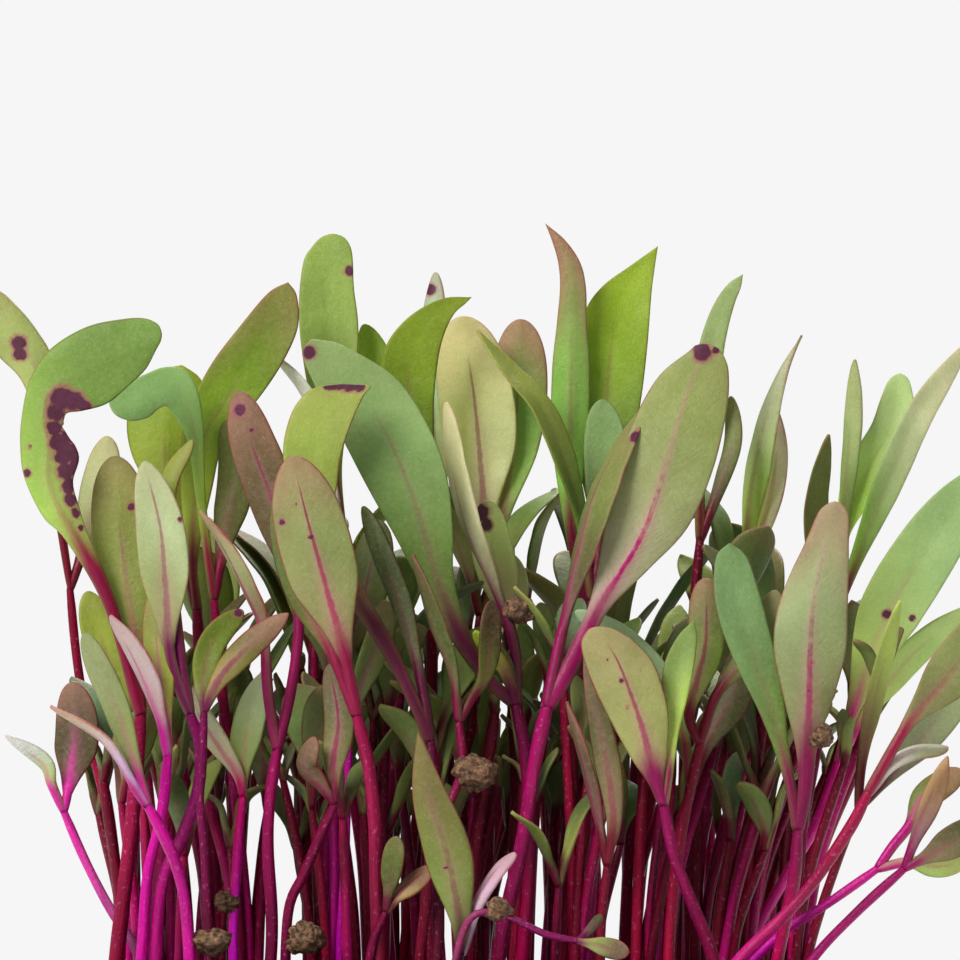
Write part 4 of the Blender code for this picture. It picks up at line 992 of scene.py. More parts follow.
# Each front tuft's stem colours, at the foot and the top, one pair for each drawn seedling; the
# top colour also tints its leaf stalks. The colours hold painted light and shade: stems in shade
# have darkened colours and brightly lit ones paler colours.
STEM_COLORS_WITH_PAINTED_LIGHT_AND_SHADE = {
    1: [((124, 3, 46), (160, 8, 92))],
    2: [((128, 5, 44), (146, 8, 66)), ((117, 2, 54), (117, 2, 54))],
    3: [((194, 2, 82), (138, 10, 76))],
    4: [((132, 4, 58), (146, 8, 84))],
    5: [((212, 2, 91), (112, 6, 62))],
    6: [((83, 2, 25), (94, 2, 51)), ((126, 4, 60), (126, 4, 60))],
    7: [((197, 2, 139), (197, 2, 139)), ((96, 2, 36), (110, 2, 69))],
    8: [((218, 2, 160), (218, 2, 160)), ((193, 7, 127), (122, 2, 82))],
    9: [((123, 2, 59), (147, 2, 81)), ((91, 2, 50), (123, 2, 59))],
    10: [((225, 16, 231), (225, 8, 117))],
    11: [((80, 10, 52), (69, 5, 27)), ((154, 67, 102), (129, 15, 85))],
    12: [((217, 16, 152), (160, 8, 67))],
    13: [((205, 5, 139), (172, 4, 105))],
    14: [((204, 3, 173), (204, 7, 136))],
    15: [((161, 12, 62), (140, 3, 59))],
    16: [((222, 132, 193), (222, 40, 164)), ((222, 40, 164), (168, 22, 73))],
    33: [((231, 43, 155), (231, 22, 151))],
    36: [((213, 7, 162), (139, 3, 80)), ((231, 8, 216), (213, 7, 162))],
}
USUAL_COLORS = (((128, 3, 44), (108, 4, 34)), ((164, 4, 54), (120, 4, 40)),
                ((176, 5, 88), (124, 4, 54)), ((200, 6, 124), (150, 5, 66)))


def stem_part(one, colors, rng):
    """A stem: circles carried along its curve, slimmer upward, with a slight swelling below its
    top and a round end. Its fields are its colour and its grain, the place round and along it
    with the length drawn out."""
    rings = max(int(measured(smooth(one["stem"]))[1] / STEM_STEP), 20)
    stations = np.linspace(0, 1, rings)
    places, aims, length = walk(one["stem"], stations)
    from_top = (1 - stations) * length
    radius = one["radius"] * (1.1 - 0.2 * stations)
    radius = radius * (1 + 0.06 * np.exp(-((from_top - 3.0) / 1.6) ** 2))
    radius = radius * (1 - 0.16 * eased(from_top, 1.6, 0.0))
    radius = radius * (1 + 0.035 * np.sin(stations * length * 0.55 + rng.uniform(0, 6)))
    if one["fork"]:
        radius = radius * (0.5 + 0.5 * eased(stations, 0, 0.07))
    cap = np.linspace(0, 1, 7)[1:-1]
    places = np.concatenate((places, places[-1] + aims[-1] * radius[-1] * cap[:, None] * 0.8))
    aims = np.concatenate((aims, np.repeat(aims[-1:], 5, axis=0)))
    radius = np.concatenate((radius, radius[-1] * np.sqrt(1 - cap**2)))
    stations = np.concatenate((stations, np.ones(5)))
    wide = np.cross(aims, (0.0, 1.0, 0.0))
    wide = wide / np.linalg.norm(wide, axis=1)[:, None]
    deep = np.cross(wide, aims)
    around = np.arange(STEM_SIDES) / STEM_SIDES * math.tau
    uneven = 1 + 0.05 * np.sin(2 * around + rng.uniform(0, 6)) + 0.03 * np.sin(3 * around)
    reach = radius[:, None] * uneven
    ring = (places[:, None, :] + wide[:, None, :] * (np.cos(around) * reach)[..., None]
            + deep[:, None, :] * (np.sin(around) * reach)[..., None])
    along = np.broadcast_to(stations[:, None], reach.shape)
    fade = eased(along + 0.15 * np.sin(around + rng.uniform(0, 6)), 0.1, 0.95)
    tint = blended(fade, tone(*colors[0]), tone(*colors[1]))
    shift = 0.14 * (1 - eased(along, 0.75, 1)) * np.sin(along * length * 0.35 + rng.uniform(0, 6))
    tint = tint * (1 + shift)[..., None]
    grain = np.stack((np.cos(around) * reach * 1.6 + rng.uniform(0, 90),
                      np.sin(around) * reach * 1.6, along * length * 0.16), axis=-1)
    ends = np.array((ring[0].mean(axis=0), places[-1] + aims[-1] * radius[-1] * 0.3))
    return closed_part(ring, ends, tint=tint, grain=grain)


def stem_skin():
    """The stems' thin wet-looking skin: magenta with lengthwise streaks, tiny bright dots of
    painted highlight where it glistens, and light that passes through it a little."""
    paint = Paint("stem_skin")
    grain = paint.field("grain")
    tint = paint.field("tint")
    streaks = paint.noise(grain, 2.2, 4, 0.6)
    threads = paint.noise(grain, 7.0, 2)
    painted_glint_dots = paint.noise(paint.places(), 3400, 2, 0.6)
    color = paint.mix(streaks.step(0.3, 0.72) * 0.55, tint, paint.dyed(tint, STREAK_DYE))
    color = paint.mix(threads.step(0.6, 0.85) * 0.22, color,
                      paint.mix(0.25, tint, tone(250, 60, 150)))
    # Painted highlights: tiny bright pink dots that stand in for glints on the wet skin
    color = paint.mix(painted_glint_dots.step(0.6, 0.7) * 0.22, color, tone(250, 130, 200))
    paint.shine_through(paint.mix(0.2, color, tone(255, 20, 120)), 0.16)
    return paint.finish(
        Base_Color=color,
        Roughness=streaks * 0.22 + 0.24,
        Specular_IOR_Level=0.2,
        Normal=paint.bump(threads * 0.5 + streaks + painted_glint_dots * 0.7, 0.5, 0.00016))


stems_skin = stem_skin()
for place, (name, grown) in enumerate(planted.items()):
    rng = np.random.default_rng([7, place])
    index = int(name.split("_")[-1]) if name.startswith("front") else 0
    drawn_colors = STEM_COLORS_WITH_PAINTED_LIGHT_AND_SHADE.get(index, [])
    parts = []
    for number, one in enumerate(grown):
        # A drawn seedling takes its listed stem colours, with their painted light and shade
        colors = (drawn_colors[number] if number < len(drawn_colors)
                  else USUAL_COLORS[rng.integers(len(USUAL_COLORS))])
        one["top_tone"] = tone(*colors[1])
        parts.append(stem_part(one, colors, rng))
    new_piece(f"{name}_stems", parts, stems_skin, [name])


# The seed leaves: each pair stands on short red stalks at the stem's top and grows as one with
# it. They are smooth, fleshy and thin, with a midrib raised on the underside; many have a red
# margin, a blush at the tip, or dark spots. Two seedlings have tiny true leaves.
PALE = tone(186, 188, 130)
BLUSH = tone(176, 122, 108)
FINE_CELL = 0.24
COARSE_CELL = 0.46
# Each drawn leaf of a front tuft: its tones at the stalk and at the tip, how strong its midrib,
# red margin and tip blush are, and its dark spots as (x, y, radius) in the front view. The tones
# hold painted light and shade: a leaf that lies in shade has darkened tones, and a backlit leaf
# has tones paled towards white.
LEAF_LOOKS_WITH_PAINTED_LIGHT_AND_SHADE = {
    1: [((171, 162, 138), (145, 159, 87), 1, 0.7, 0.1, [(702, 352, 9), (716, 350, 4)]),
        ((66, 44, 19), (122, 138, 60), 0.5, 0.5, 0.3, [(636, 437, 6)])],
    2: [((142, 135, 83), (132, 148, 79), 0.8, 0.8, 0.55, [(282, 522, 3.5), (311, 537, 3),
         (296, 505, 2)]),
        ((101, 94, 26), (63, 92, 14), 0.3, 0.3, 0.2, []),
        ((71, 85, 15), (94, 111, 38), 0.2, 0.5, 0.2, []),
        ((175, 151, 79), (121, 67, 40), 0.6, 0.6, 0.5, [])],
    3: [((119, 118, 70), (161, 179, 128), 0.8, 0.6, 0.6, [(813, 662, 2.5), (809, 690, 2)]),
        ((100, 126, 39), (119, 152, 95), 0.15, 0.2, 0, [(776, 604, 2.5)])],
    4: [((163, 167, 94), (164, 160, 101), 0.75, 0.9, 0.2, [(622, 680, 3), (628, 707, 2.5),
         (608, 660, 2)]),
        ((206, 234, 105), (136, 161, 85), 0.1, 0.3, 0, [])],
    5: [((95, 125, 34), (145, 176, 108), 0.35, 0.1, 0.1, [(404, 470, 2), (309, 352, 7)]),
        ((63, 69, 31), (235, 232, 187), 0.3, 0.3, 0.2, []),
        ((118, 51, 15), (196, 216, 56), 0.2, 0.1, 0, []),
        ((66, 57, 19), (65, 66, 22), 0.2, 0.1, 0, [])],
    6: [((131, 100, 59), (163, 187, 77), 0.3, 0.5, 0.2, [(328, 386, 5), (338, 384, 7),
         (350, 385, 7), (361, 387, 5)]),
        ((47, 66, 16), (47, 66, 16), 0.2, 0.2, 0, []),
        ((61, 88, 8), (62, 66, 12), 0.3, 0.3, 0.2, []),
        ((95, 113, 14), (66, 48, 19), 0.3, 0.3, 0.1, [])],
    7: [((139, 156, 81), (149, 158, 108), 0.3, 0.2, 0, []),
        ((202, 184, 231), (222, 203, 180), 0.5, 1, 0.5, []),
        ((146, 152, 41), (99, 75, 25), 0.7, 0.9, 0.6, []),
        ((118, 135, 41), (106, 127, 14), 0.3, 0.4, 0.1, [(238, 613, 4)])],
    8: [((191, 164, 172), (210, 188, 196), 0.5, 1, 0.3, []),
        ((202, 214, 64), (131, 143, 39), 0.4, 0.5, 0.3, []),
        ((161, 166, 101), (188, 203, 155), 0.85, 0.5, 0.2, [(180, 520, 3)]),
        ((119, 119, 24), (130, 147, 23), 0.4, 0.4, 0.2, [])],
    9: [((66, 50, 32), (93, 64, 33), 0.6, 0.6, 0.5, [(240, 410, 6), (252, 430, 3)]),
        ((118, 90, 54), (172, 185, 130), 0.7, 0.9, 0.6, []),
        ((133, 133, 64), (77, 74, 44), 0.8, 0.6, 0.2, []),
        ((89, 56, 20), (71, 50, 24), 0.6, 0.8, 0.5, [])],
    10: [((237, 237, 195), (237, 237, 217), 0.5, 0.5, 0.6, []),
         ((168, 196, 97), (160, 176, 129), 0.3, 0.2, 0.1, [])],
    11: [((117, 141, 51), (113, 102, 43), 0.5, 0.6, 0.1, [(446, 868, 2.5)]),
         ((237, 203, 237), (212, 165, 192), 0.5, 0.4, 0.2, []),
         ((156, 184, 87), (113, 93, 71), 0.5, 0.6, 0.1, []),
         ((50, 66, 26), (50, 66, 26), 0.3, 0.3, 0.1, [])],
    12: [((128, 129, 75), (150, 159, 96), 0.5, 0.6, 0.3, []),
         ((237, 232, 237), (160, 166, 127), 0.4, 0.5, 0.3, [])],
    13: [((133, 86, 108), (219, 173, 126), 0.3, 0.4, 0.2, []),
         ((131, 120, 79), (81, 79, 40), 0.3, 0.3, 0.1, [])],
    14: [((90, 139, 33), (123, 103, 47), 0.5, 0.6, 0.5, []),
         ((164, 208, 109), (186, 198, 112), 0.4, 0.5, 0.2, [])],
    15: [((162, 198, 82), (99, 136, 41), 0.25, 0.3, 0, [(62, 398, 11.5), (75, 401, 10.3),
          (85, 407, 6.9), (56, 412, 9.2), (54, 428, 8), (58, 442, 9.2), (66, 438, 6.9),
          (74, 452, 9.2), (63, 456, 9.2), (76, 464, 6.9), (66, 471, 9.2), (69, 486, 8),
          (71, 500, 6.9), (76, 514, 4.5), (81, 528, 3.5), (27, 473, 4.5), (30, 447, 2.5)]),
         ((129, 145, 46), (123, 135, 39), 0.3, 0.3, 0.3, [(131, 507, 4)])],
    16: [((159, 197, 87), (217, 218, 224), 0.3, 0.3, 0, []),
         ((66, 41, 10), (66, 37, 26), 0.6, 0.6, 0.5, []),
         ((146, 165, 47), (159, 173, 65), 0.3, 0.3, 0.1, []),
         ((134, 164, 84), (134, 164, 84), 0.3, 0.3, 0.1, [])],
    17: [((132, 162, 44), (94, 119, 45), 0.7, 0.6, 0.6, []),
         ((87, 108, 26), (143, 150, 102), 0.3, 0.3, 0.3, [])],
    18: [((134, 119, 73), (66, 65, 22), 0.5, 0.5, 0.4, []),
         ((66, 31, 28), (66, 48, 28), 0.5, 0.6, 0.4, [])],
    19: [((115, 147, 66), (184, 210, 169), 0.2, 0.2, 0, []),
         ((52, 66, 16), (66, 56, 21), 0.3, 0.3, 0.2, [])],
    20: [((110, 134, 58), (150, 182, 26), 0.3, 0.3, 0.1, []),
         ((127, 199, 59), (136, 171, 78), 0.3, 0.5, 0.9, [])],
    21: [((78, 122, 16), (169, 177, 83), 0.2, 0.2, 0, []),
         ((71, 75, 33), (133, 164, 98), 0.1, 0.1, 0, [])],
    22: [((229, 216, 167), (217, 237, 155), 0.3, 0.3, 0.1, [(480, 512, 9), (487, 525, 6)]),
         ((237, 237, 183), (175, 185, 128), 0.2, 0.2, 0, [])],
    23: [((237, 237, 181), (237, 237, 174), 0.6, 0.3, 0.4, []),
         ((175, 210, 114), (84, 145, 16), 0.4, 0.6, 0.8, [])],
    24: [((48, 66, 18), (138, 165, 24), 0.2, 0.2, 0.1, []),
         ((160, 170, 14), (141, 179, 14), 0.3, 0.3, 0.1, [])],
    25: [((237, 227, 177), (170, 235, 202), 0.5, 0.5, 0.6, [(430, 290, 6)]),
         ((92, 116, 52), (134, 164, 84), 0.2, 0.2, 0.2, [])],
    26: [((173, 196, 65), (115, 150, 14), 0.3, 0.8, 0.4, []),
         ((158, 162, 43), (139, 160, 17), 0.2, 0.2, 0, [])],
    27: [((153, 177, 85), (153, 177, 85), 0.2, 0.2, 0, [(349, 271, 5)]),
         ((237, 237, 222), (237, 237, 237), 0.3, 0.3, 0.1, [])],
    28: [((144, 187, 27), (152, 190, 118), 0.2, 0.1, 0, []),
         ((78, 73, 14), (90, 99, 14), 0.2, 0.2, 0, [])],
    29: [((171, 177, 108), (160, 177, 98), 0.3, 0.5, 0.2, [(19, 343, 8), (20, 354, 7)]),
         ((89, 105, 37), (187, 190, 140), 0.3, 0.3, 0.2, [])],
    30: [((142, 167, 65), (162, 181, 120), 0.2, 0.2, 0, []),
         ((47, 66, 16), (127, 136, 79), 0.2, 0.2, 0.1, [])],
    31: [((181, 219, 86), (190, 197, 165), 0.3, 0.5, 0.2, []),
         ((237, 237, 191), (237, 228, 220), 0.3, 0.8, 0.5, [])],
    32: [((192, 230, 102), (191, 212, 148), 0.2, 0.2, 0, []),
         ((105, 157, 34), (181, 194, 135), 0.2, 0.2, 0.1, [])],
    33: [((191, 214, 116), (166, 195, 131), 0.2, 0.1, 0, [(887, 614, 5), (912, 618, 3.5),
          (862, 647, 3)]),
         ((196, 218, 114), (195, 220, 142), 0.2, 0.2, 0.1, [])],
    34: [((131, 123, 65), (103, 119, 30), 0.2, 0.3, 0.1, []),
         ((124, 171, 51), (220, 222, 183), 0.2, 0.2, 0.2, [])],
    35: [((131, 131, 106), (153, 167, 119), 0.3, 0.3, 0.1, []),
         ((138, 98, 67), (209, 231, 120), 0.2, 0.2, 0.1, [])],
}
# Closer outlines of the leaves that are seen best, by tuft and leaf: pairs of points of the front
# view on the left and right margin, from the stem's top up, and the tip
OUTLINES = {
    (1, 0): [
        (540, 707, 554, 709), (560, 668, 576, 672), (578, 630, 596, 633), (589, 604, 612, 606),
        (597, 568, 650, 568), (603, 530, 688, 527), (614, 477, 713, 470), (632, 424, 727, 410),
        (658, 377, 729, 374), (689, 351, 725, 358), (696, 345, 718, 348), (708, 343)],
    (3, 0): [
        (792, 830, 804, 830), (798, 790, 812, 790), (796, 750, 818, 745), (784, 700, 834, 697),
        (774, 652, 846, 652), (777, 612, 848, 606), (789, 577, 849, 566), (804, 545, 849, 540),
        (817, 515, 849, 518), (823, 507, 846, 509), (829, 503, 842, 504), (835, 501)],
    (3, 1): [
        (792, 830, 804, 828), (786, 790, 796, 786), (774, 750, 788, 740), (757, 708, 785, 705),
        (738, 670, 779, 668), (722, 630, 769, 628), (714, 592, 758, 588), (716, 557, 746, 556),
        (729, 543)],
    (4, 0): [
        (658, 807, 670, 805), (649, 785, 664, 784), (632, 760, 667, 755), (614, 728, 669, 722),
        (597, 695, 665, 694), (586, 667, 653, 662), (581, 645, 635, 642), (584, 635, 622, 633),
        (590, 628, 612, 628), (601, 626)],
    (4, 1): [
        (659, 806, 669, 806), (664, 775, 673, 775), (663, 740, 679, 732), (661, 700, 688, 696),
        (664, 665, 695, 661), (678, 636, 697, 636), (694, 620)],
    (5, 0): [
        (509, 707, 522, 703), (482, 682, 494, 675), (452, 642, 468, 628), (425, 594, 454, 578),
        (398, 542, 453, 530), (368, 488, 447, 476), (340, 434, 428, 425), (318, 392, 396, 378),
        (303, 358, 346, 347), (304, 348, 328, 341), (311, 339)],
    (6, 0): [
        (425, 744, 435, 740), (412, 712, 423, 707), (384, 657, 397, 648), (345, 597, 362, 584),
        (306, 537, 336, 520), (289, 482, 338, 480), (283, 452, 342, 452), (288, 423, 353, 420),
        (298, 402, 364, 396), (314, 388, 370, 386), (342, 384)],
    (15, 0): [
        (135, 716, 147, 713), (104, 608, 117, 604), (66, 541, 89, 536), (43, 517, 79, 506),
        (24, 477, 73, 482), (20, 442, 79, 456), (22, 414, 67, 427), (30, 379, 66, 414),
        (50, 349, 82, 411), (86, 327, 106, 404), (122, 319, 126, 388), (143, 318, 145, 370),
        (155, 322, 156, 350), (160, 327, 161, 341), (162, 334)],
    (20, 0): [
        (580, 606, 592, 606), (590, 530, 604, 530), (578, 462, 630, 462), (572, 400, 641, 400),
        (575, 350, 647, 350), (585, 311, 650, 312), (603, 286, 652, 288), (630, 266, 655, 266),
        (658, 246)],
    (20, 1): [
        (580, 606, 592, 606), (565, 530, 578, 530), (552, 442, 588, 442), (552, 372, 590, 372),
        (557, 322, 587, 322), (560, 287, 586, 287), (558, 262, 580, 262), (552, 241, 565, 240),
        (545, 223)],
    (24, 0): [
        (424, 580, 436, 580), (418, 500, 430, 500), (398, 450, 434, 450), (384, 402, 434, 402),
        (382, 361, 438, 361), (392, 335, 444, 335), (415, 312, 454, 314), (444, 298, 465, 304),
        (472, 297)],
    (26, 0): [
        (191, 610, 203, 610), (187, 560, 198, 560), (180, 483, 212, 490), (181, 441, 226, 437),
        (192, 402, 259, 398), (212, 363, 283, 362), (240, 326, 298, 327), (268, 293, 297, 296),
        (288, 282)],
    (26, 1): [
        (191, 610, 203, 610), (179, 560, 190, 560), (150, 492, 189, 500), (131, 452, 199, 456),
        (127, 416, 207, 420), (140, 386, 206, 392), (160, 370, 199, 376), (182, 365)],
    (27, 0): [
        (338, 560, 350, 560), (330, 470, 342, 470), (311, 402, 352, 402), (302, 352, 358, 352),
        (299, 316, 358, 320), (300, 286, 354, 288), (304, 260, 353, 262), (312, 247, 351, 248),
        (319, 239, 346, 239), (326, 235, 340, 235), (333, 233.5)],
    (28, 0): [
        (209, 600, 219, 600), (196, 500, 206, 500), (187, 440, 204, 432), (173, 415, 198, 391),
        (166, 406, 184, 370), (158, 409, 164, 367), (147, 418, 143, 375), (131, 421, 127, 383),
        (118, 417, 114, 390), (112, 411, 110, 397), (109, 404)],
    (29, 0): [
        (66, 590, 75, 590), (52, 500, 62, 500), (40, 432, 56, 426), (22, 382, 52, 361),
        (-1, 357, 38, 332), (-23, 330, 17, 306), (-39, 305, -6, 288), (-43, 287)],
    (30, 0): [
        (695, 540, 706, 540), (694, 460, 706, 460), (691, 400, 722, 400), (696, 360, 723, 360),
        (703, 331, 728, 329), (714, 304, 735, 303), (728, 284, 741, 287), (743, 274)],
    (32, 0): [
        (837, 580, 848, 580), (836, 530, 850, 535), (841, 482, 880, 490), (855, 451, 898, 456),
        (871, 425, 912, 431), (880, 400, 914, 405), (887, 383, 911, 386), (893, 376, 907, 377),
        (900, 373)],
}
# How wide some other leaves are, by tuft and leaf, as a share of their drawn width
WIDTHS = {(31, 1): 0.66, (30, 1): 0.6}
# Where a margin is eaten away: the tuft and leaf, the blade share, its spread, side and depth
BITES = {(15, 0): (0.5, 0.035, -1, 0.2)}


def outlined(blade, pairs):
    """The blade's margins in mm: each pair of the front view is set at the depth that the
    blade's own curve has at the same share of its length."""
    tip = pairs[-1]
    pairs = np.array(pairs[:-1] + [tip + tip], float)
    middle = (pairs[:, :2] + pairs[:, 2:]) / 2
    share = np.concatenate(([0], np.cumsum(np.hypot(*np.diff(middle, axis=0).T))))
    depths = walk(blade["points"], share / share[-1])[0][:, 1]
    left, right = (np.array([drawn(point, depth) for point, depth in zip(side, depths)])
                   for side in (pairs[:, :2], pairs[:, 2:]))
    return {**blade, "margins": (left, right)}


def margin_sections(blade, stations):
    """Middles, directions, cross directions and half widths between a blade's two margins, at
    these shares of the middle line's length."""
    left, right = (smooth(points) for points in blade["margins"])
    middle = (left + right) / 2
    share, length = measured(middle)
    left, right = (read_off(stations, share, side) for side in (left, right))
    ahead = read_off(stations, share, np.gradient(middle, axis=0))
    ahead = ahead / np.linalg.norm(ahead, axis=1)[:, None]
    wide = (right - left) * (-1 if np.cos(blade["turn"]) > 0 else 1)
    half = np.linalg.norm(wide, axis=1) / 2
    firm = np.maximum(half, 1e-6)[:, None]
    wide = np.where(half[:, None] > 0.05, wide / firm / 2, 0)
    last = np.flatnonzero(half > 0.05)[-1]
    wide[last + 1:] = wide[last]
    return (left + right) / 2, ahead, wide, half, length


def leaf_part(blade, look, stalk_tone, stem_radius, bite, rng):
    """A leaf: sections carried along its curve. Across a section, v runs from -1 to 1; the blade
    lifts with the square of v, is as thick as a power of 1 - v squared, has a ridge below and a
    groove above its middle, and its margin waves a little. Its fields say how a point is
    coloured and how far it is from the midrib, the margin and the nearest spot."""
    low_tone, high_tone, rib, margin, blush, spots = look
    cell = FINE_CELL if blade["fine"] else COARSE_CELL
    length = measured(smooth(blade["points"]))[1]
    rows = int(np.clip(length / cell / 1.4, 24, 130))
    columns = int(np.clip(blade["half"] * 2 / cell, 8, 36))
    even = np.linspace(0, 1, rows + 2)
    stations = (0.8 * even + 0.2 * np.sin(even * math.pi / 2))[:-1]
    stations = np.concatenate((stations[:-1], 1 - (1 - stations[-2]) * np.array((0.6, 0.3, 0.1))))
    places, aims, length = walk(blade["points"], stations)
    u, half, thick = blade_sizes(blade, stations)
    if "margins" in blade:
        places, aims, wide, half, length = margin_sections(blade, stations)
        face = np.cross(wide, aims)
    else:
        wide, face = blade_frame(blade, aims)
    u, half, thick = u[:, None], half[:, None], thick[:, None]
    foot = (stem_radius * 0.92 - STALK_RADIUS) * np.exp(-stations[:, None] * length / 2.6)
    foot = foot - 0.14 * stem_radius * np.exp(-stations[:, None] * length / 0.4)
    half = half + foot
    thick = thick + foot
    w = np.linspace(1, -1, columns + 1)
    v = 0.45 * w + 0.55 * np.sin(w * math.pi / 2)
    v = np.concatenate((v, v[-2:0:-1]))[None, :]
    above = np.concatenate((np.ones(columns + 1), -np.ones(columns - 1)))[None, :]
    flat = eased(u, 0.0, 0.35)
    eaten = 0.0
    if bite:
        middle, spread, side, depth = bite
        eaten = depth * np.exp(-(((u - middle) / spread) ** 2))
        eaten = eaten * (1 + 0.25 * np.sin(u * 190)) * (v * side > 0)
    reach = half * v * (1 - eaten)
    phase = rng.uniform(0, 6, 6)
    ripple = np.sin(u * length * 0.75 + phase[0]) * 0.6 + np.sin(u * length * 1.6 + phase[1]) * 0.4
    sway = np.sin(u * length * 0.5 + phase[2] + 2.2 * v)
    lift = blade["cup"] * np.maximum(half - STALK_RADIUS, 0) * v**2
    lift = lift + flat * half * (0.035 * ripple * np.abs(v) ** 3 * np.sign(v)
                                 + 0.03 * sway * (1 - v**2))
    body = thick * np.maximum(1 - v**2, 0) ** (0.5 - 0.14 * flat)
    rise = np.exp(-((v * half / 0.42) ** 2)) * flat * (1 - u) ** 0.7
    body = np.where(above > 0, body - 0.13 * rise, body + 0.2 * rise)
    ring = (places[:, None, :] + wide[:, None, :] * reach[..., None]
            + face[:, None, :] * (lift + above * body)[..., None])
    shape = reach.shape
    u, half, v, above = (np.broadcast_to(values, shape) for values in (u, half, v, above))
    along = np.broadcast_to(stations[:, None] * length, shape)
    off = np.abs(v) * half
    edge = (1 - np.abs(v)) * half
    green = blended(eased(u + 0.1 * v * np.sin(phase[4]), 0.08, 0.8),
                    tone(*low_tone), tone(*high_tone))
    patch = 1 + 0.07 * np.sin(along * 0.7 + phase[5]) * np.cos(v * 2 + phase[1])
    green = green * patch[..., None]
    green = np.where(above[..., None] < 0, green * 0.9 + np.array(PALE) * 0.1, green * 0.96)
    pinked = blush * eased(u + 0.14 * np.abs(v), 0.6, 1.05)
    green = blended(pinked, green, BLUSH)
    stalk_share = 1 - eased(u + 0.12 * np.abs(v) - 0.05 * (above < 0), 0.0, 0.24)
    red = np.array(stalk_tone)
    tint = blended(stalk_share, green, red)
    rib_width = 0.4 * (1 - u) ** 1.5 + 0.06
    rib_force = rib * (1 - eased(u, 0.45 + 0.4 * rib, 0.62 + 0.4 * rib)) * (1 - 0.35 * (above > 0))
    vein = blended(eased(u, 0.25, 0.9), red * 0.75 + np.array(BRIGHT_RED) * 0.25,
                   np.array(CRIMSON) * 0.62)
    margin_force = margin * eased(u, 0.06, 0.3) * (0.65 + 0.35 * np.sin(along * 1.1 + phase[0]))
    spot = np.full(shape, 6.0)
    where = seen(ring)
    for x, y, radius in spots:
        spot = np.minimum(spot, np.hypot(where[..., 0] - x, where[..., 1] - y) / radius)
    tip = blade["margins"][0][-1] if "margins" in blade else blade["points"][-1]
    return closed_part(
        ring, (ring[0].mean(axis=0), tip), tint=tint, vein=vein,
        lines=np.stack((off / rib_width, edge, spot), axis=-1),
        force=np.stack((rib_force, margin_force, stalk_share), axis=-1),
        flow=np.stack((along, v * half, np.full(shape, rng.uniform(0, 60))), axis=-1))


def leaf_skin():
    """The leaves' waxy skin: its own green with soft mottling, fine pale dots and side veins, a
    magenta midrib with a ragged edge, a thin red margin, spots with a dark core and a pink halo,
    and light that shows through."""
    paint = Paint("leaf_skin")
    where = paint.places()
    lines = paint.split(paint.field("lines"))
    force = paint.split(paint.field("force"))
    flow = paint.split(paint.field("flow"))
    tint = paint.field("tint")
    vein = paint.field("vein")
    clouds = paint.noise(where, 420, 4, 0.6)
    grain = paint.noise(where, 2600, 3, 0.6)
    ragged = paint.noise(where, 1500, 3, 0.6)
    fine = paint.noise(where, 6000, 2, 0.6)
    dots = paint.cells(where, 3600).step(0.3, 0.1) * ragged.step(0.45, 0.6)
    color = paint.mix(clouds.step(0.32, 0.72) * 0.5, tint, paint.dyed(tint, (0.72, 0.8, 0.6)))
    color = paint.mix(grain.step(0.35, 0.75) * 0.28, color,
                      paint.mix(0.22, tint, tone(226, 226, 178)))
    branch = paint.node("ShaderNodeCombineXYZ", values={
        0: flow[0] - flow[1].math("ABSOLUTE") * 0.9, 1: flow[1] * 0.3, 2: flow[2]})
    branches = paint.noise(branch, 0.6, 3, 0.5, 0.4).math("SUBTRACT", 0.5).math("ABSOLUTE")
    branches = branches.step(0.03, 0.0) * force[0] * lines[1].step(0.1, 0.9)
    color = paint.mix(branches * 0.08, color, paint.mix(0.55, tint, vein))
    color = paint.mix(fine.step(0.62, 0.35) * 0.2, color, paint.dyed(tint, (0.6, 0.62, 0.5)))
    color = paint.mix(dots * 0.1, color, tone(238, 240, 206))
    rib = (lines[0] + (ragged - 0.5) * 1.1).step(1.15, 0.35) * force[0]
    halo = (lines[0] + (ragged - 0.5) * 1.5).step(4.2, 0.6) * force[0]
    color = paint.mix(halo * 0.3, color, paint.mix(0.6, vein, tone(226, 150, 170)))
    color = paint.mix(rib, color, vein)
    strand = paint.node("ShaderNodeCombineXYZ", values={
        0: flow[0] * 0.16, 1: flow[1] * 1.6, 2: flow[2]})
    streaks = paint.noise(strand, 2.2, 4, 0.6)
    stalk = paint.mix(streaks.step(0.3, 0.72) * 0.55, tint, paint.dyed(tint, STREAK_DYE))
    stalk_share = force[2].step(0.1, 0.95)
    color = paint.mix(stalk_share, color, stalk)
    rim = (lines[1] + (ragged - 0.5) * 0.24).step(0.2, 0.02) * force[1]
    color = paint.mix(rim * 0.85, color, tone(172, 48, 72))
    burn = lines[2] + (ragged - 0.5) * 0.8
    color = paint.mix(burn.step(1.55, 0.95) * 0.6, color, tone(168, 62, 96))
    core = burn.step(1.1, 0.8)
    color = paint.mix(core * 0.92, color, paint.mix(grain, tone(50, 10, 42), tone(98, 30, 70)))
    glow = paint.mix(stalk_share, (1.0, 1.0, 0.62), (1.0, 0.8, 1.0))
    paint.shine_through(paint.dyed(color, glow), 0.3)
    relief = fine * 0.35 + grain * 0.5 + clouds * 1.4 + branches * -0.2
    return paint.finish(
        Base_Color=color,
        Roughness=clouds * 0.16 + grain * 0.1 + 0.4 - stalk_share * 0.14,
        Specular_IOR_Level=0.3,
        Normal=paint.bump(relief, 0.5, 0.00018))


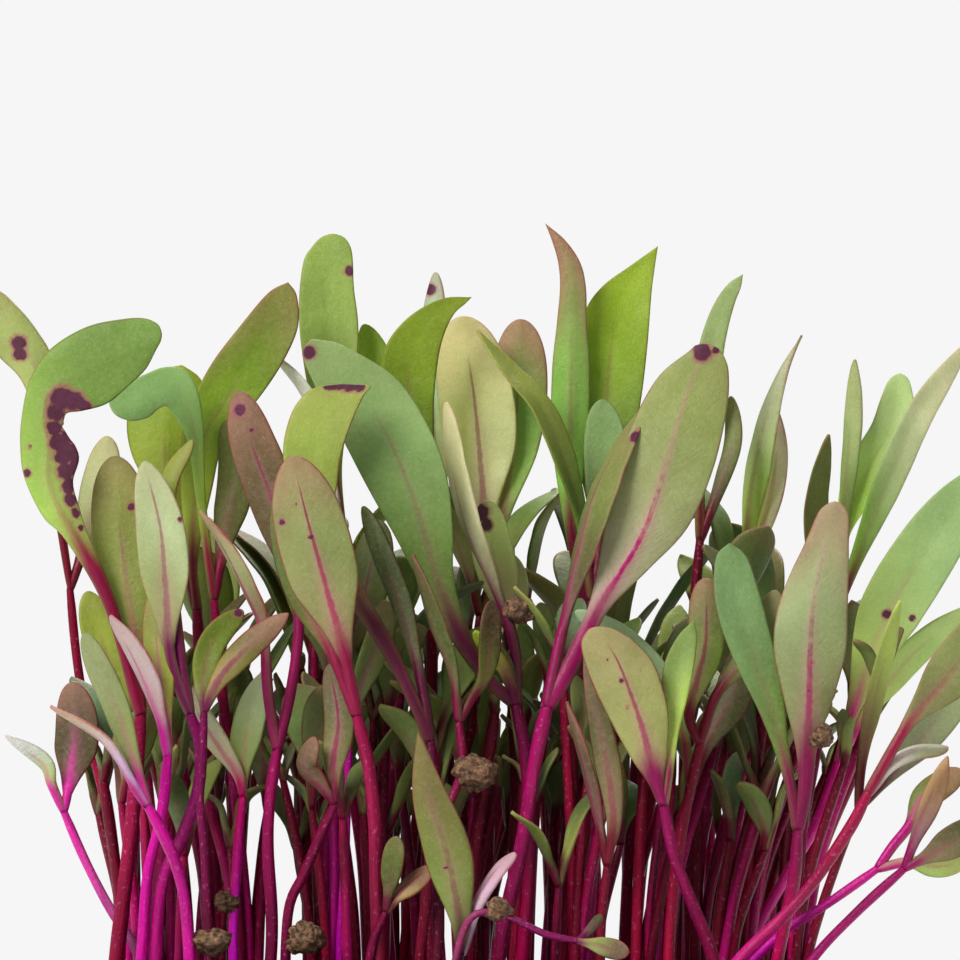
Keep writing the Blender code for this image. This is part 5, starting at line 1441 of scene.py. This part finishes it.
leaves_skin = leaf_skin()
USUAL_GREENS = ((84, 106, 46), (112, 140, 66), (128, 132, 72), (92, 128, 84), (120, 148, 72),
                (148, 168, 76), (76, 98, 44))
for place, (name, grown) in enumerate(planted.items()):
    rng = np.random.default_rng([9, place])
    index = int(name.split("_")[-1]) if name.startswith("front") else 0
    looks = LEAF_LOOKS_WITH_PAINTED_LIGHT_AND_SHADE.get(index, [])
    parts = []
    blades = [(one, blade) for one in grown for blade in one["leaves"]]
    for number, (one, blade) in enumerate(blades):
        # A drawn leaf takes its listed tones, with their painted light and shade
        if number < len(looks):
            look = looks[number]
        else:
            greens = [USUAL_GREENS[i] for i in rng.integers(len(USUAL_GREENS), size=2)]
            look = (*greens, rng.uniform(0.1, 0.5), rng.uniform(0.1, 0.6), rng.uniform(0, 0.4), [])
        if (index, number) in OUTLINES:
            blade = outlined(blade, OUTLINES[index, number])
        blade = {**blade, "half": blade["half"] * WIDTHS.get((index, number), 1.0)}
        parts.append(leaf_part(blade, look, one["top_tone"], one["radius"],
                               BITES.get((index, number)), rng))
    new_piece(f"{name}_leaves", parts, leaves_skin, [name])


# The corky seed husks: the dry seed ball's shell, lifted up by a seedling and still stuck to it.
# They are brown, light and crumbly, with deep pits and pale rough ridges.
HUSK_RINGS = 22
HUSK_SIDES = 34
# Each husk: its tuft's index, its seedling's number, its place in the front view, its radius
HUSKS = [
    (6, 1, (212, 942), 1.45),
    (9, 0, (226, 902), 1.0),
    (8, 1, (303, 940), 1.5),
    (4, 0, (522, 612), 1.3),
    (5, 1, (474, 772), 1.5),
    (10, 1, (498, 910), 1.0),
    (2, 0, (821, 735), 1.0),
]


def husk_place(grown, number, point):
    """A husk's place: at the depth of the nearest stem or stalk that is seen beside it."""
    one = grown[number]
    line = np.vstack([smooth(one["stem"])] + [smooth(leaf["points"]) for leaf in one["leaves"]])
    nearest = np.argmin(np.hypot(*(seen(line) - point).T))
    return drawn(point, line[nearest, 1])


def husk_part(place, radius, rng):
    """A husk: a ball whose radius swells and pits with crossing sines, some of them sharp."""
    level = np.cos(np.linspace(0, math.pi, HUSK_RINGS + 2)[1:-1])[::-1]
    around = np.arange(HUSK_SIDES) / HUSK_SIDES * math.tau
    ring = np.sqrt(1 - level**2)[:, None]
    way = np.stack((np.cos(around) * ring, np.sin(around) * ring,
                    np.broadcast_to(level[:, None], (HUSK_RINGS, HUSK_SIDES))), axis=-1)
    reach = np.ones(way.shape[:2])
    for size, amount in ((2.3, 0.24), (4.6, 0.14), (8.5, 0.08), (15.0, 0.035)):
        axes = rng.normal(size=(3, 3))
        swing = np.sin(way @ axes.T * size / 1.6 + rng.uniform(0, 6, 3))
        swell = np.abs(swing[..., 0] * swing[..., 1] + 0.2 * swing[..., 2])
        reach = reach + amount * (1 - 2 * swell)
    ring = way * (reach * radius * 0.9)[..., None] * (1.05, 0.95, 0.85) + place
    return closed_part(ring, (ring[0].mean(axis=0), ring[-1].mean(axis=0)))


def husk_cork():
    """Dry cork: dark pits, mid-brown body and pale ridges, dull and rough, with a few
    bright grains."""
    paint = Paint("husk_cork")
    where = paint.places()
    pits = paint.cells(where, 1900)
    grain = paint.noise(where, 2400, 5, 0.7)
    wide = paint.noise(where, 700, 3)
    color = paint.mix(grain.step(0.35, 0.68), tone(58, 36, 24), tone(150, 112, 76))
    color = paint.mix(wide.step(0.45, 0.7) * 0.6, color, tone(92, 58, 36))
    color = paint.mix(pits.step(0.5, 0.05) * 0.75, color, tone(34, 20, 14))
    color = paint.mix(grain.step(0.7, 0.76), color, tone(232, 206, 166))
    return paint.finish(
        Base_Color=color,
        Roughness=grain * 0.3 + 0.6,
        Normal=paint.bump(grain + pits * 0.8, 0.9, 0.0003))


cork = husk_cork()
for index in sorted({husk[0] for husk in HUSKS}):
    name = f"front_tuft_{index + 1:02d}"
    rng = np.random.default_rng([11, index])
    parts = [husk_part(husk_place(planted[name], number, point), radius, rng)
             for tuft, number, point, radius in HUSKS if tuft == index]
    new_piece(f"{name}_husks", parts, cork, [name])


# The floor and light: a pale round table top, a broad soft light from the upper left, a weaker
# one from behind that shines through the leaves, and an even pale surround. The surround is
# brighter where the camera sees it than where it lights the object.
TABLE_SIDES = 96
TABLE_RADIUS = 0.3
angle = np.arange(TABLE_SIDES) / TABLE_SIDES * math.tau
disc = np.column_stack((np.cos(angle) * TABLE_RADIUS, np.sin(angle) * TABLE_RADIUS,
                        np.zeros(TABLE_SIDES)))
mesh = bpy.data.meshes.new("table")
mesh.from_pydata(disc.tolist(), [], [list(range(TABLE_SIDES))])
table = bpy.data.objects.new("table", mesh)
bpy.context.scene.collection.objects.link(table)
paint = Paint("table_top")
cloth = paint.noise(paint.places(), 30, 3)
mesh.materials.append(paint.finish(
    Base_Color=paint.mix(cloth, tone(236, 236, 236), tone(242, 242, 241)),
    Roughness=cloth * 0.1 + 0.6))

world = bpy.data.worlds.new("surround")
world.use_nodes = True
seen_sky = world.node_tree.nodes["Background"]
seen_sky.inputs["Color"].default_value = (0.9216, 0.9216, 0.9216, 1)
dim_sky = world.node_tree.nodes.new("ShaderNodeBackground")
dim_sky.inputs["Color"].default_value = (0.34, 0.34, 0.35, 1)
which = world.node_tree.nodes.new("ShaderNodeLightPath")
skies = world.node_tree.nodes.new("ShaderNodeMixShader")
for out, into in ((which.outputs["Is Camera Ray"], skies.inputs[0]),
                  (dim_sky.outputs[0], skies.inputs[1]), (seen_sky.outputs[0], skies.inputs[2]),
                  (skies.outputs[0], world.node_tree.nodes["World Output"].inputs["Surface"])):
    world.node_tree.links.new(out, into)
bpy.context.scene.world = world


def soft_light(name, place, target, size, power, color):
    """A square light of this size in metres, turned to its target."""
    made = bpy.data.lights.new(name, "AREA")
    made.size = size
    made.energy = power
    made.color = color
    lamp = bpy.data.objects.new(name, made)
    bpy.context.scene.collection.objects.link(lamp)
    lamp.location = place
    away = lamp.location - lamp.location.__class__(target)
    lamp.rotation_euler = away.to_track_quat("Z", "Y").to_euler()


soft_light("key", (-0.32, -0.42, 0.42), (0, 0, 0.055), 0.26, 5.2, (1.0, 0.99, 0.97))
soft_light("back", (0.1, 0.42, 0.5), (0, 0, 0.06), 0.34, 5.0, (1.0, 1.0, 0.98))

# The camera stands at the front view's eye, and its picture is as wide as the front view
SENSOR = 36
lens = bpy.data.cameras.new("camera")
lens.sensor_width = SENSOR
lens.lens = SENSOR * VIEW_DISTANCE / (2 * DRAWING_MIDDLE * UNIT)
lens.clip_start = 0.01
camera = bpy.data.objects.new("camera", lens)
bpy.context.scene.collection.objects.link(camera)
camera.location = (VIEW_X * MM, -VIEW_DISTANCE * MM, EYE * MM)
camera.rotation_euler = (math.pi / 2, 0, 0)
bpy.context.scene.camera = camera
bpy.context.scene.view_settings.view_transform = "Standard"
